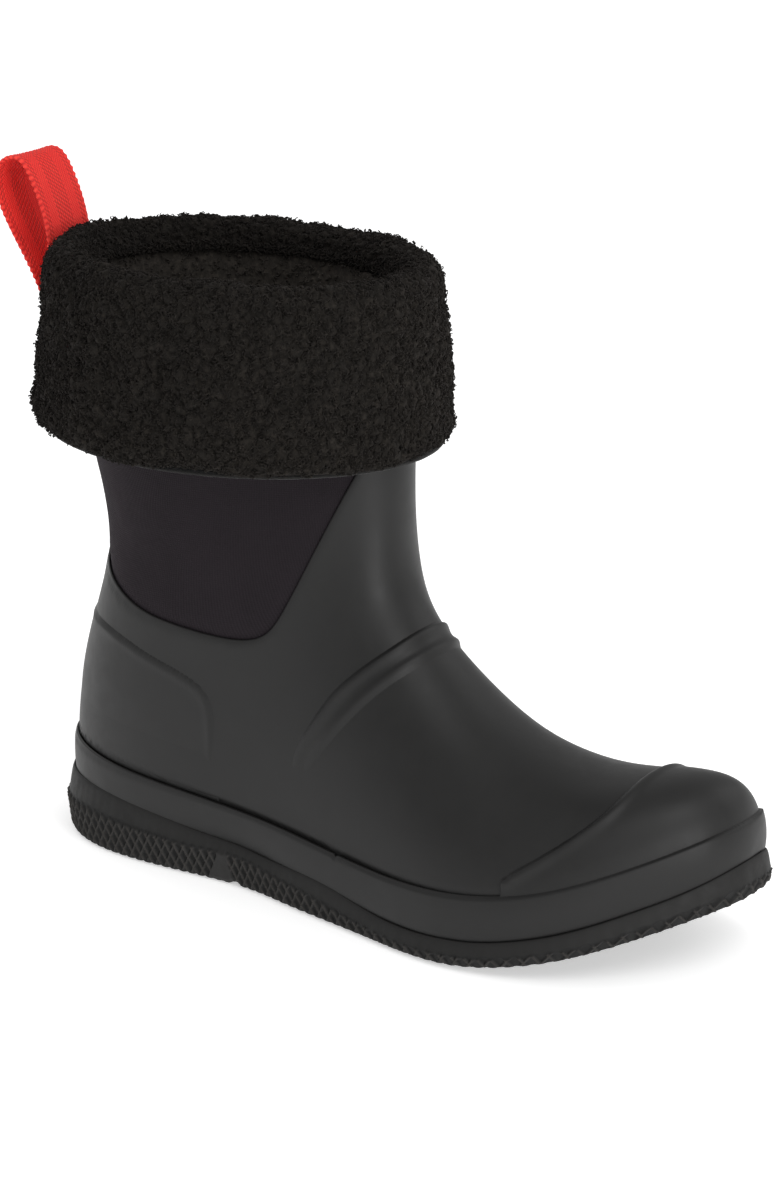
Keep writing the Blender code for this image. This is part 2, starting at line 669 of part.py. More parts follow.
def build():
    """Build the whole boot."""
    clear_scene()
    colours = paints()
    rows = foot_outline()
    outsole(rows, colours["sole"])
    sole_fillings(rows, colours)
    upper(colours)
    footbed(colours)
    cuff(colours)
    pull_loop(colours["webbing"])
    loop_trim(colours["backing"], colours["thread"])


build()
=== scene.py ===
"""Looks of a short pull-on rubber boot with a turned-down fleece cuff and a red pull loop.

Frame: +Z up, the toe points to -Y, the outer side of the foot is -X. Plan and profile sizes are in
millimetres and repeat the model's driving dimensions; "forward" is counted from the back of the heel. A place
on the boot is a pair (t, angle): t runs from the toe's tip back and up to the mouth, and the angle runs from
the keel line, over the outer side, to the crest and back over the inner side.
"""
import math

import bmesh
import bpy
import numpy as np
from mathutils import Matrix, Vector
from mathutils.bvhtree import BVHTree
from mathutils.kdtree import KDTree

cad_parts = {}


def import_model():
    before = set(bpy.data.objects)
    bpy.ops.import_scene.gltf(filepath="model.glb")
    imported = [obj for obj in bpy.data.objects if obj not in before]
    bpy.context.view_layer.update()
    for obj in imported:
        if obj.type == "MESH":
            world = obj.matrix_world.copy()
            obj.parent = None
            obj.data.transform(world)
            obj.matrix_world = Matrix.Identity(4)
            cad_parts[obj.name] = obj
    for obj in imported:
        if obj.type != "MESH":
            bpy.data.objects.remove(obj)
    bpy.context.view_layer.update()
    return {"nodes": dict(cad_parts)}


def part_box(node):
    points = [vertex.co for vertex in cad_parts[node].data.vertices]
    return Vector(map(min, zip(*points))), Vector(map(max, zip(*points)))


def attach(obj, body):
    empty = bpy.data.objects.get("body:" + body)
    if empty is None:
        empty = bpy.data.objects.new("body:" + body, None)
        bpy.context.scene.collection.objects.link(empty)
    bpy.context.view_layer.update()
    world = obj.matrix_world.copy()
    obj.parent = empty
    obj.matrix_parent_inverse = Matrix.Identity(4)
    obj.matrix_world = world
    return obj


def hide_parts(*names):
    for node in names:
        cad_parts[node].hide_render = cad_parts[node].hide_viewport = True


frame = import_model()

MM = 0.001
TAU = 2 * math.pi
HEEL_CENTRE_FORWARD = 40.0
SEED = 20

# Sections from the toe's tip to the mouth: crest forward, crest up, keel forward, keel up, half width,
# shift to the inner side, height share of the widest place, squareness of the keel half
SECTIONS = np.array([
    (287, 41, 286.6, 36, 0.5, 14, 0.50, 2.0),
    (281, 62, 283, 23, 18.0, 14, 0.50, 2.0),
    (266, 68, 264, 13, 32.0, 9, 0.40, 4.0),
    (248, 67, 244, 8, 41.5, 4, 0.32, 4.0),
    (228, 67, 220, 4, 46.5, 0, 0.24, 4.0),
    (203, 74, 192, 1, 46.0, -3, 0.22, 4.0),
    (179, 90, 160, 0, 41.0, -3, 0.24, 4.0),
    (158, 113, 120, 0, 35.0, -3, 0.32, 3.6),
    (151, 137, 78, 0, 33.0, -2, 0.40, 3.0),
    (150, 164, 14, -6, 36.0, -1, 0.46, 2.4),
    (149, 188, 4, 58, 41.0, 0, 0.48, 2.0),
    (147, 206, 20, 109, 46.0, 0, 0.50, 2.0),
    (144, 224, 17, 150, 51.0, 0, 0.50, 2.0),
    (143, 244, 5, 200, 56.0, 0, 0.50, 2.0),
    (142, 262, 2, 250, 58.0, 0, 0.50, 2.0),
], float)
LAST = len(SECTIONS) - 1.0
CREST_SQUARENESS = 2.1
HEEL_TURN = (7.5, 9.0)
NOSE_SHARE = (1.0, 0.7, 0.3, 0.0)

# Heights along the foot: (forward, up)
FEATHER = ((-12, 25.5), (0, 24), (60, 17), (120, 11.5), (180, 8), (235, 15), (286, 36), (300, 43))
TREAD = ((-12, 0), (60, 0), (92, 0), (95, 1.3), (98, 0.2), (110, 0), (180, 0), (208, 1.2), (235, 6.2),
         (290, 27), (300, 31))
# Where the sole's ledge leaves the foxing, and where the ledge ends over the knurled band: (forward, up)
CREASE = ((-12, 25.9), (0, 24.9), (20, 24.7), (40, 23.3), (55, 21.2), (65, 19.6), (80, 17.4), (95, 16.2),
          (110, 14.8), (125, 14.6), (135, 14.4), (145, 13.4), (156, 11.4), (170, 9.4), (187, 9.0), (200, 9.7),
          (213, 10.9), (224, 12.9), (240, 16.9), (264, 26.2), (281, 34.4), (288, 38.8), (300, 47))
KNURL_TOP = ((-12, 14.5), (0, 15.2), (20, 16.3), (35, 15.9), (49, 14.6), (61, 13.8), (70, 13.0), (82, 13.0),
             (91, 13.4), (106, 12.6), (117, 11.2), (134, 9.9), (145, 8.6), (156, 6.9), (171, 5.2), (187, 4.9),
             (201, 5.7), (213, 6.9), (224, 8.7), (240, 12.7), (255, 17.7), (264, 21.6), (275, 26.6),
             (285, 31.6), (291, 35.0), (300, 41))

SHELL = (0.0, -1.6)
SLEEVE = (-1.9, -5.3)
STIFFENER = (-5.7, -6.7)
LINING = (-7.1, -9.6)
GAP = 0.3
SHELL_TOP = 186.0
SLEEVE_TOP = 223.5
FOOT_LINING_TOP = 118.0
FOXING_HIGH = 18.0
FOXING_OUT = 2.3
OVERLAY_INNER = -0.9
FLOOR_GLOW = 0.46
WORLD_STRENGTH = 0.58

# Side-view outlines: (forward, up)
WINDOW = ((154, 200), (150, 186), (140, 162), (130, 139), (120, 117), (113, 104), (105, 99), (92, 98),
          (72, 100), (56, 103), (43, 109), (30, 115.5), (24, 120), (22, 132), (20, 160), (14, 186), (8, 200))
COUNTER_EDGE = ((88, 50), (89, 62), (88.5, 71), (85, 78), (76, 83), (60, 88), (46, 93), (30, 96), (-14, 97))
INSTEP_REAR_EDGE = ((176, 128), (164, 112), (156, 104), (148, 97), (139, 88), (133, 79), (127, 69),
                    (121, 58), (117, 40))
INSTEP_FRONT_EDGE = ((186, 110), (173, 100), (166, 94), (158, 87), (146, 73), (136, 58), (127, 42))
TOE_CAP_EDGE = ((246, 92), (251, 76), (251.5, 66), (247, 58), (237, 49), (222, 38))

# The cuff: ellipses as (centre forward, half length, half width, up), once round its cross-section
FLEECE_RINGS = (
    (76, 81, 67, 170), (76, 82, 68.5, 175), (76.5, 81, 66, 190), (77, 79.5, 62.5, 210),
    (77, 79, 60, 225), (77, 77.5, 58, 232), (77, 74, 54.5, 236.5), (77, 69, 50, 236),
    (76, 64.5, 47, 232), (75.2, 61.5, 45.5, 226), (75.5, 63, 47, 225.6), (75.5, 73.4, 57.8, 225.6),
    (76, 74.5, 58.7, 210), (77.5, 75.9, 59.9, 190), (77.5, 76.4, 61.9, 173), (77, 78, 63.5, 170),
)
BACKING_RINGS = (
    (77.5, 76.0, 61.2, 171.5), (77.5, 75.5, 59.5, 190), (76, 74.1, 58.3, 210), (75.5, 73.0, 57.4, 225.2),
    (75.5, 62.5, 46.5, 225.2), (75.5, 62.5, 46.5, 224.1), (75.5, 71.9, 56.3, 224.1), (76, 73.0, 57.2, 210),
    (77.5, 74.4, 58.4, 190), (77.5, 74.9, 60.1, 171.5),
)
HEM_RINGS = (
    (77.2, 76.3, 61.3, 169.6), (76.8, 79.0, 64.5, 169.6), (76.8, 79.0, 64.5, 168.2),
    (77.2, 75.2, 60.2, 168.2),
    (77.2, 75.2, 60.2, 171.1), (77.2, 76.3, 61.3, 171.1),
)

# Pull loop
LOOP_PROFILE = ((-6.1, 200), (-6.1, 212), (-5.2, 226), (-7.5, 240), (-13, 253), (-20, 260.5), (-27, 258.5),
                (-30, 250), (-26.5, 239), (-18.5, 226), (-10.8, 213), (-8.2, 206), (-8.0, 200))
LOOP_WIDE = 25.0
LOOP_THICK = 1.5

FOOTBED_INSET = -2.2
FOOTBED_LEVELS = (2.7, 7.0)
COVER_LEVELS = (7.3, 8.5)

# Camera
CAMERA_TURN = math.radians(55.3)
CAMERA_RISE = math.radians(18.1)
CAMERA_AWAY = 1.4184
CAMERA_LENS = 113.3
LOOK_AT = Vector((0.0288, -0.0827, 0.1024))


def make_camera():
    """Camera at the viewing angle that shows the outer side and the toe."""
    data = bpy.data.cameras.new("camera")
    data.lens = CAMERA_LENS
    data.clip_end = 20.0
    made = bpy.data.objects.new("camera", data)
    bpy.context.scene.collection.objects.link(made)
    back = Vector((-math.sin(CAMERA_TURN) * math.cos(CAMERA_RISE),
                   -math.cos(CAMERA_TURN) * math.cos(CAMERA_RISE), math.sin(CAMERA_RISE)))
    made.location = LOOK_AT + back * CAMERA_AWAY
    made.rotation_euler = (-back).to_track_quat("-Z", "Y").to_euler()
    bpy.context.scene.camera = made


# ---------------------------------------------------------------- curves and surfaces


def smooth_curve(xs, values):
    """Cubic spline with continuous curvature through values at xs."""
    xs = np.asarray(xs, float)
    values = np.asarray(values, float)
    count = len(xs)
    step = np.diff(xs)
    system = np.eye(count)
    right = np.zeros_like(values)
    slope = np.diff(values, axis=0) / step.reshape((-1,) + (1,) * (values.ndim - 1))
    for i in range(1, count - 1):
        system[i, i - 1:i + 2] = (step[i - 1], 2 * (step[i - 1] + step[i]), step[i])
        right[i] = 6 * (slope[i] - slope[i - 1])
    bend = np.linalg.solve(system, right)

    def at(x):
        x = np.clip(np.asarray(x, float), xs[0], xs[-1])
        i = np.clip(np.searchsorted(xs, x, side="right") - 1, 0, count - 2)
        extra = (1,) * (values.ndim - 1)
        h = step[i].reshape(x.shape + extra)
        near = (xs[i + 1] - x).reshape(x.shape + extra)
        far = (x - xs[i]).reshape(x.shape + extra)
        return (bend[i] * near**3 / (6 * h) + bend[i + 1] * far**3 / (6 * h)
                + (values[i] / h - bend[i] * h / 6) * near + (values[i + 1] / h - bend[i + 1] * h / 6) * far)
    return at


def section_curve():
    """Spline through the sections; a mirrored row before the first one rounds the toe's tip."""
    mirrored = 2 * SECTIONS[0] - SECTIONS[1]
    mirrored[[0, 2]] = SECTIONS[1][[0, 2]]
    mirrored[6:] = SECTIONS[1][6:]
    rows = np.vstack([mirrored, SECTIONS])
    return smooth_curve(np.arange(-1.0, LAST + 1), rows)


def height_curve(knots):
    """Height along the foot through (forward, up) knots."""
    xs = np.array([knot[0] for knot in knots], float)
    ys = np.array([knot[1] for knot in knots], float)
    slope = np.gradient(ys, xs)

    def at(forward):
        forward = np.clip(np.asarray(forward, float), xs[0], xs[-1])
        i = np.clip(np.searchsorted(xs, forward) - 1, 0, len(xs) - 2)
        span = xs[i + 1] - xs[i]
        f = (forward - xs[i]) / span
        return ((2 * f**3 - 3 * f**2 + 1) * ys[i] + (f**3 - 2 * f**2 + f) * span * slope[i]
                + (3 * f**2 - 2 * f**3) * ys[i + 1] + (f**3 - f**2) * span * slope[i + 1])
    return at


section_at = section_curve()
feather_up = height_curve(FEATHER)
tread_curve = height_curve(TREAD)
crease_up = height_curve(CREASE)
knurl_up = height_curve(KNURL_TOP)


def tread_up(forward):
    """Height of the tread, which never dips below the ground."""
    return np.maximum(tread_curve(forward), 0.0)


def surface(t, angle, depth=0.0):
    """Points (side, forward, up) at places on the boot, moved outward by a depth (inward below zero)."""
    t, angle, depth = np.broadcast_arrays(np.asarray(t, float), np.asarray(angle, float),
                                          np.asarray(depth, float))
    row = section_at(t)
    spread = depth * np.minimum(1.0, t)
    rise = row[..., 0:2] - row[..., 2:4]
    rise = rise / np.linalg.norm(rise, axis=-1, keepdims=True)
    turn = np.interp(t, HEEL_TURN, (0, 1))
    nose = depth * np.interp(t, range(len(NOSE_SHARE)), NOSE_SHARE)
    crest = row[..., 0:2] + rise * spread[..., None]
    keel = row[..., 2:4] - rise * (spread * turn)[..., None]
    crest[..., 0] += nose
    keel[..., 0] += nose
    half = np.maximum(row[..., 4] + spread, 0.4)
    lift = -np.cos(angle)
    power = np.where(lift > 0, CREST_SQUARENESS, row[..., 7])
    up_share = np.sign(lift) * np.abs(lift) ** (2 / power)
    reach = np.sign(np.sin(angle)) * np.abs(np.sin(angle)) ** (2 / power)
    widest = row[..., 6]
    share = np.where(up_share > 0, widest + (1 - widest) * up_share, widest + widest * up_share)
    return np.stack([row[..., 5] - half * reach, keel[..., 0] + (crest[..., 0] - keel[..., 0]) * share,
                     keel[..., 1] + (crest[..., 1] - keel[..., 1]) * share], axis=-1)


def even_places(rows, columns, start=0.0, stop=LAST):
    """Grid of places with about even spacing on the surface."""
    dense = np.linspace(start, stop, 1501)
    values = section_at(dense)
    moved = (np.linalg.norm(np.diff(values[:, 0:2], axis=0), axis=1)
             + np.linalg.norm(np.diff(values[:, 2:4], axis=0), axis=1) + np.abs(np.diff(values[:, 4])))
    along = np.concatenate([[0.0], np.cumsum(moved)])
    t = np.interp(np.linspace(0, along[-1], rows), along, dense)
    angles = np.linspace(0.0, TAU, 541)
    points = surface(t[:, None], angles[None, :])
    lengths = np.linalg.norm(np.diff(points, axis=1), axis=2)
    placed = np.empty((rows, columns))
    for i, row in enumerate(lengths):
        total = np.concatenate([[0.0], np.cumsum(row)])
        placed[i] = np.interp(np.arange(columns) * total[-1] / columns, total, angles)
    return np.repeat(t[:, None], columns, axis=1), placed


# ---------------------------------------------------------------- side-view outlines


def rounded_line(points, turns=4):
    """Open line with its corners cut off again and again, ends kept."""
    line = np.array(points, float)
    for _ in range(turns):
        near = line[:-1] * 0.75 + line[1:] * 0.25
        far = line[:-1] * 0.25 + line[1:] * 0.75
        middle = np.empty((2 * len(near), 2))
        middle[0::2] = near
        middle[1::2] = far
        line = np.vstack([line[:1], middle, line[-1:]])
    return line


def line_distance(points, line, closed=False):
    """Distance in side view from points to a line, and the parity of crossings for a closed one."""
    flat = points[..., 1:3].reshape(-1, 2)
    ends = np.roll(line, -1, axis=0) if closed else line[1:]
    starts = line if closed else line[:-1]
    nearest = np.full(len(flat), np.inf)
    inside = np.zeros(len(flat), bool)
    for a, b in zip(starts, ends):
        along = b - a
        share = np.clip(((flat - a) @ along) / max(along @ along, 1e-12), 0, 1)
        nearest = np.minimum(nearest, np.linalg.norm(flat - a - share[:, None] * along, axis=1))
        crosses = (a[1] > flat[:, 1]) != (b[1] > flat[:, 1])
        with np.errstate(divide="ignore", invalid="ignore"):
            hit = (b[0] - a[0]) * (flat[:, 1] - a[1]) / (b[1] - a[1]) + a[0]
        inside ^= crosses & (flat[:, 0] < hit)
    shape = points.shape[:-1]
    return nearest.reshape(shape), inside.reshape(shape)


def within(line):
    """Field that is positive inside a closed side-view outline."""
    line = np.asarray(line, float)

    def field(points):
        nearest, inside = line_distance(points, line, closed=True)
        return np.where(inside, nearest, -nearest)
    return field


def sole_line(above, start=-16.0, stop=302.0, steps=60):
    """Side-view points that follow the outsole's top edge at a height above it."""
    places = np.linspace(start, stop, steps)
    return np.stack([places, feather_up(places) + above], axis=1)


def above_sole(rise):
    """Field that is positive above the sole line."""
    return lambda points: points[..., 2] - feather_up(points[..., 1]) - rise


def below(level):
    """Field that is positive below a level."""
    return lambda points: level - points[..., 2]


def both(*fields):
    """Field that is positive where every one of its parts is."""
    return lambda points: np.min([field(points) for field in fields], axis=0)


def outside(field):
    """The opposite of a field."""
    return lambda points: -field(points)


# ---------------------------------------------------------------- meshes


def world(points):
    """Metres in the part's frame for (side, forward, up) points in millimetres."""
    points = np.asarray(points, float)
    return np.stack([points[..., 0], HEEL_CENTRE_FORWARD - points[..., 1], points[..., 2]], axis=-1) * MM


def flip_if_inside_out(points, quads, tris):
    """Turn every face over when the closed surface faces inward."""
    corners = [quads[:, [0, 1, 2]], quads[:, [0, 2, 3]], tris]
    faces = np.vstack([c for c in corners if len(c)])
    a, b, c = (points[faces[:, k]] for k in range(3))
    if (np.cross(a, b) * c).sum() < 0:
        return quads[:, ::-1], tris[:, ::-1]
    return quads, tris


def add_mesh(name, points, quads, tris=None, paint=None, metres=False, sharp=None):
    """Object from arrays of points in millimetres, quads and triangles."""
    tris = np.empty((0, 3), int) if tris is None else np.asarray(tris, int)
    quads = np.empty((0, 4), int) if quads is None else np.asarray(quads, int)
    placed = np.asarray(points, float) if metres else world(points)
    quads, tris = flip_if_inside_out(placed, quads, tris)
    mesh = bpy.data.meshes.new(name)
    mesh.vertices.add(len(placed))
    mesh.vertices.foreach_set("co", placed.ravel())
    corners = np.concatenate([quads.ravel(), tris.ravel()]).astype(np.int32)
    starts = np.concatenate([np.arange(len(quads)) * 4, len(quads) * 4 + np.arange(len(tris)) * 3])
    mesh.loops.add(len(corners))
    mesh.loops.foreach_set("vertex_index", corners)
    mesh.polygons.add(len(starts))
    mesh.polygons.foreach_set("loop_start", starts.astype(np.int32))
    mesh.update(calc_edges=True)
    mesh.validate()
    mesh.shade_smooth()
    if sharp is not None:
        mesh.set_sharp_from_angle(angle=math.radians(sharp))
    if paint is not None:
        mesh.materials.append(paint)
    made = bpy.data.objects.new(name, mesh)
    bpy.context.scene.collection.objects.link(made)
    return made


def wrapped(angle):
    """Angle difference between -pi and pi."""
    return (angle + math.pi) % TAU - math.pi


def trimmed(t_grid, angle_grid, field):
    """Trim a grid of places to where the field is positive, its border moved onto the field's zero line."""
    rows, columns = t_grid.shape
    t = t_grid.ravel().copy()
    angle = angle_grid.ravel().copy()
    value = field(surface(t, angle))
    index = np.arange(rows * columns).reshape(rows, columns)
    right = np.roll(index, -1, axis=1)
    pairs = np.vstack([np.stack([index.ravel(), right.ravel()], axis=1),
                       np.stack([index[:-1].ravel(), index[1:].ravel()], axis=1)])
    pairs = pairs[value[pairs[:, 0]] * value[pairs[:, 1]] < 0]
    swap = np.abs(value[pairs[:, 0]]) > np.abs(value[pairs[:, 1]])
    pairs[swap] = pairs[swap][:, ::-1]
    mover, other = pairs.T
    t_start, angle_start, first = t[mover], angle[mover], value[mover]
    t_step = t[other] - t_start
    angle_step = wrapped(angle[other] - angle_start)
    share = first / (first - value[other])
    for _ in range(3):
        now = field(surface(t_start + t_step * share, angle_start + angle_step * share))
        share = np.clip(share * first / np.where(np.abs(first - now) < 1e-9, 1e-9, first - now), 0, 1)
    order = np.argsort(-share)
    t[mover[order]] = (t_start + t_step * share)[order]
    angle[mover[order]] = (angle_start + angle_step * share)[order]
    sign = np.sign(value)
    sign[mover] = 0
    quads = np.stack([index[:-1], right[:-1], right[1:], index[1:]], axis=-1).reshape(-1, 4)
    signs = sign[quads]
    kept = quads[(signs >= 0).all(axis=1) & (signs > 0).any(axis=1)]
    halves = []
    for k in range(4):
        a, b, c, d = (k - 1) % 4, k, (k + 1) % 4, (k + 2) % 4
        cut = (signs[:, b] > 0) & (signs[:, a] == 0) & (signs[:, c] == 0) & (signs[:, d] < 0)
        halves.append(quads[cut][:, [a, b, c]])
    tris = np.vstack(halves)
    used = np.unique(np.concatenate([kept.ravel(), tris.ravel()]))
    renumber = np.full(len(t), -1)
    renumber[used] = np.arange(len(used))
    first_row = used < columns
    return t[used], angle[used], renumber[kept], renumber[tris], first_row


def border_edges(quads, tris):
    """Directed edges that belong to one face only."""
    edges = np.vstack([quads[:, [k, (k + 1) % 4]] for k in range(4)]
                      + [tris[:, [k, (k + 1) % 3]] for k in range(3)])
    big = int(edges.max()) + 1
    code = edges[:, 0] * big + edges[:, 1]
    twin = edges[:, 1] * big + edges[:, 0]
    return edges[~np.isin(code, twin)]


def distance_to_edges(points, edges):
    """Distance of every point to a set of border edges."""
    first, second = points[edges[:, 0]], points[edges[:, 1]]
    marks = np.vstack([first * (1 - s) + second * s for s in (0.0, 0.25, 0.5, 0.75)])
    tree = KDTree(len(marks))
    for i, mark in enumerate(marks):
        tree.insert(mark, i)
    tree.balance()
    return np.array([tree.find(p)[2] for p in points])


def unit(vectors):
    """Vectors of length one."""
    return vectors / np.maximum(np.linalg.norm(vectors, axis=-1, keepdims=True), 1e-12)


def smooth_step(x):
    """Soft rise from 0 at 0 to 1 at 1."""
    x = np.clip(x, 0.0, 1.0)
    return x * x * (3 - 2 * x)


def layer(name, grid, field, outer, inner, paint, rim=1.0, rim_rows=5, feathered=None, knit=None):
    """Closed layer of the boot between an outer and an inner depth, trimmed to a field, with a rolled rim.

    outer and inner are depths or functions of (points, distance to the border, t, angle); feathered picks the
    border points that the distance counts from; knit names a UV map with (turns, t) over the layer.
    """
    t, angle, quads, tris, first_row = trimmed(*grid, field)
    base = surface(t, angle)
    edges = border_edges(quads, tris)
    edges = edges[~(first_row[edges[:, 0]] & first_row[edges[:, 1]])]
    counted = edges
    if feathered is not None:
        counted = edges[feathered(base[edges[:, 0]])]
    away = distance_to_edges(base, counted)
    skins = []
    for depth in (outer, inner):
        depth = depth(base, away, t, angle) if callable(depth) else np.full(len(t), float(depth))
        skins.append(surface(t, angle, depth))
    top, bottom = skins
    if first_row.any():
        top[first_row] = top[first_row].mean(axis=0)
        bottom[first_row] = bottom[first_row].mean(axis=0)
    count = len(t)
    points = [top, bottom]
    all_quads = [quads, quads[:, ::-1] + count]
    all_tris = [tris, tris[:, ::-1] + count]
    ring = np.unique(edges)
    place = np.full(count, -1)
    place[ring] = np.arange(len(ring))
    normal = unit(top - bottom)
    along = np.zeros_like(top)
    run = unit(top[edges[:, 1]] - top[edges[:, 0]])
    np.add.at(along, edges[:, 0], run)
    np.add.at(along, edges[:, 1], run)
    out = unit(np.cross(along[ring], normal[ring]))
    thick = np.linalg.norm(top[ring] - bottom[ring], axis=1)[:, None]
    neighbour = np.zeros_like(top)
    shared = np.zeros(count)
    for k in range(4):
        np.add.at(neighbour, quads[:, k], top[quads].mean(axis=1))
        np.add.at(shared, quads[:, k], 1)
    inward = neighbour[ring] / np.maximum(shared[ring], 1)[:, None] - top[ring]
    if ((inward * out).sum(axis=1) * (shared[ring] > 0)).sum() > 0:
        out = -out
    levels = [ring]
    for k in range(1, rim_rows):
        share = (1 - math.cos(math.pi * k / rim_rows)) / 2
        bulge = rim * math.sqrt(max(0.0, 1 - (2 * share - 1) ** 2)) / 2
        levels.append(2 * count + (k - 1) * len(ring) + np.arange(len(ring)))
        points.append(top[ring] * (1 - share) + bottom[ring] * share + out * thick * bulge)
    levels.append(ring + count)
    for upper_ring, lower_ring in zip(levels[:-1], levels[1:]):
        u = place[edges[:, 0]]
        v = place[edges[:, 1]]
        all_quads.append(np.stack([upper_ring[v], upper_ring[u], lower_ring[u], lower_ring[v]], axis=1))
    made = add_mesh(name, np.vstack(points), np.vstack(all_quads), np.vstack(all_tris), paint)
    if knit is not None:
        corner = np.empty(len(made.data.loops), int)
        made.data.loops.foreach_get("vertex_index", corner)
        spread_t = np.concatenate([t, t] + [t[ring]] * (rim_rows - 1))
        spread_a = np.concatenate([angle, angle] + [angle[ring]] * (rim_rows - 1)) / TAU
        turns = spread_a[corner]
        starts = np.empty(len(made.data.polygons), int)
        made.data.polygons.foreach_get("loop_start", starts)
        sizes = np.diff(np.append(starts, len(corner)))
        highest = np.repeat(np.maximum.reduceat(turns, starts), sizes)
        turns = np.where(highest - turns > 0.5, turns + 1, turns)
        uv = made.data.uv_layers.new(name=knit)
        uv.data.foreach_set("uv", np.stack([turns, spread_t[corner]], axis=1).astype(np.float32).ravel())
    weld(made)
    return made


def weld(made, distance=1e-6):
    """Join corners that fell on one point, such as the loop at the toe's tip."""
    work = bmesh.new()
    work.from_mesh(made.data)
    bmesh.ops.remove_doubles(work, verts=work.verts, dist=distance)
    bmesh.ops.dissolve_degenerate(work, edges=work.edges, dist=distance)
    work.to_mesh(made.data)
    work.free()
    made.data.shade_smooth()


def tube_faces(levels, around, closed_along=False):
    """Quads of a grid whose columns close on themselves, and its rows too when asked."""
    index = np.arange(levels * around).reshape(levels, around)
    right = np.roll(index, -1, axis=1)
    if closed_along:
        above = np.roll(index, -1, axis=0)
        above_right = np.roll(right, -1, axis=0)
        return np.stack([index, right, above_right, above], axis=-1).reshape(-1, 4)
    return np.stack([index[:-1], right[:-1], right[1:], index[1:]], axis=-1).reshape(-1, 4)


# ---------------------------------------------------------------- noise


def lattice(x, y, z, seed):
    """Fixed random values from -1 to 1 at whole-number places."""
    mixed = (x * 374761393 + y * 668265263 + z * 1440662683 + seed * 1274126177) & 0xFFFFFFFF
    mixed = ((mixed ^ (mixed >> 13)) * 1274126177) & 0xFFFFFFFF
    return ((mixed ^ (mixed >> 16)) & 0xFFFF) / 32767.5 - 1


def noise(points, size, seed=0):
    """Smooth noise from -1 to 1 with features of a size in millimetres."""
    scaled = np.asarray(points, float) / size
    whole = np.floor(scaled).astype(np.int64)
    part = scaled - whole
    part = part * part * (3 - 2 * part)
    total = 0.0
    for dx in (0, 1):
        for dy in (0, 1):
            for dz in (0, 1):
                weight = (np.where(dx, part[..., 0], 1 - part[..., 0])
                          * np.where(dy, part[..., 1], 1 - part[..., 1])
                          * np.where(dz, part[..., 2], 1 - part[..., 2]))
                corner = lattice(whole[..., 0] + dx, whole[..., 1] + dy, whole[..., 2] + dz, seed)
                total = total + weight * corner
    return total


# ---------------------------------------------------------------- materials


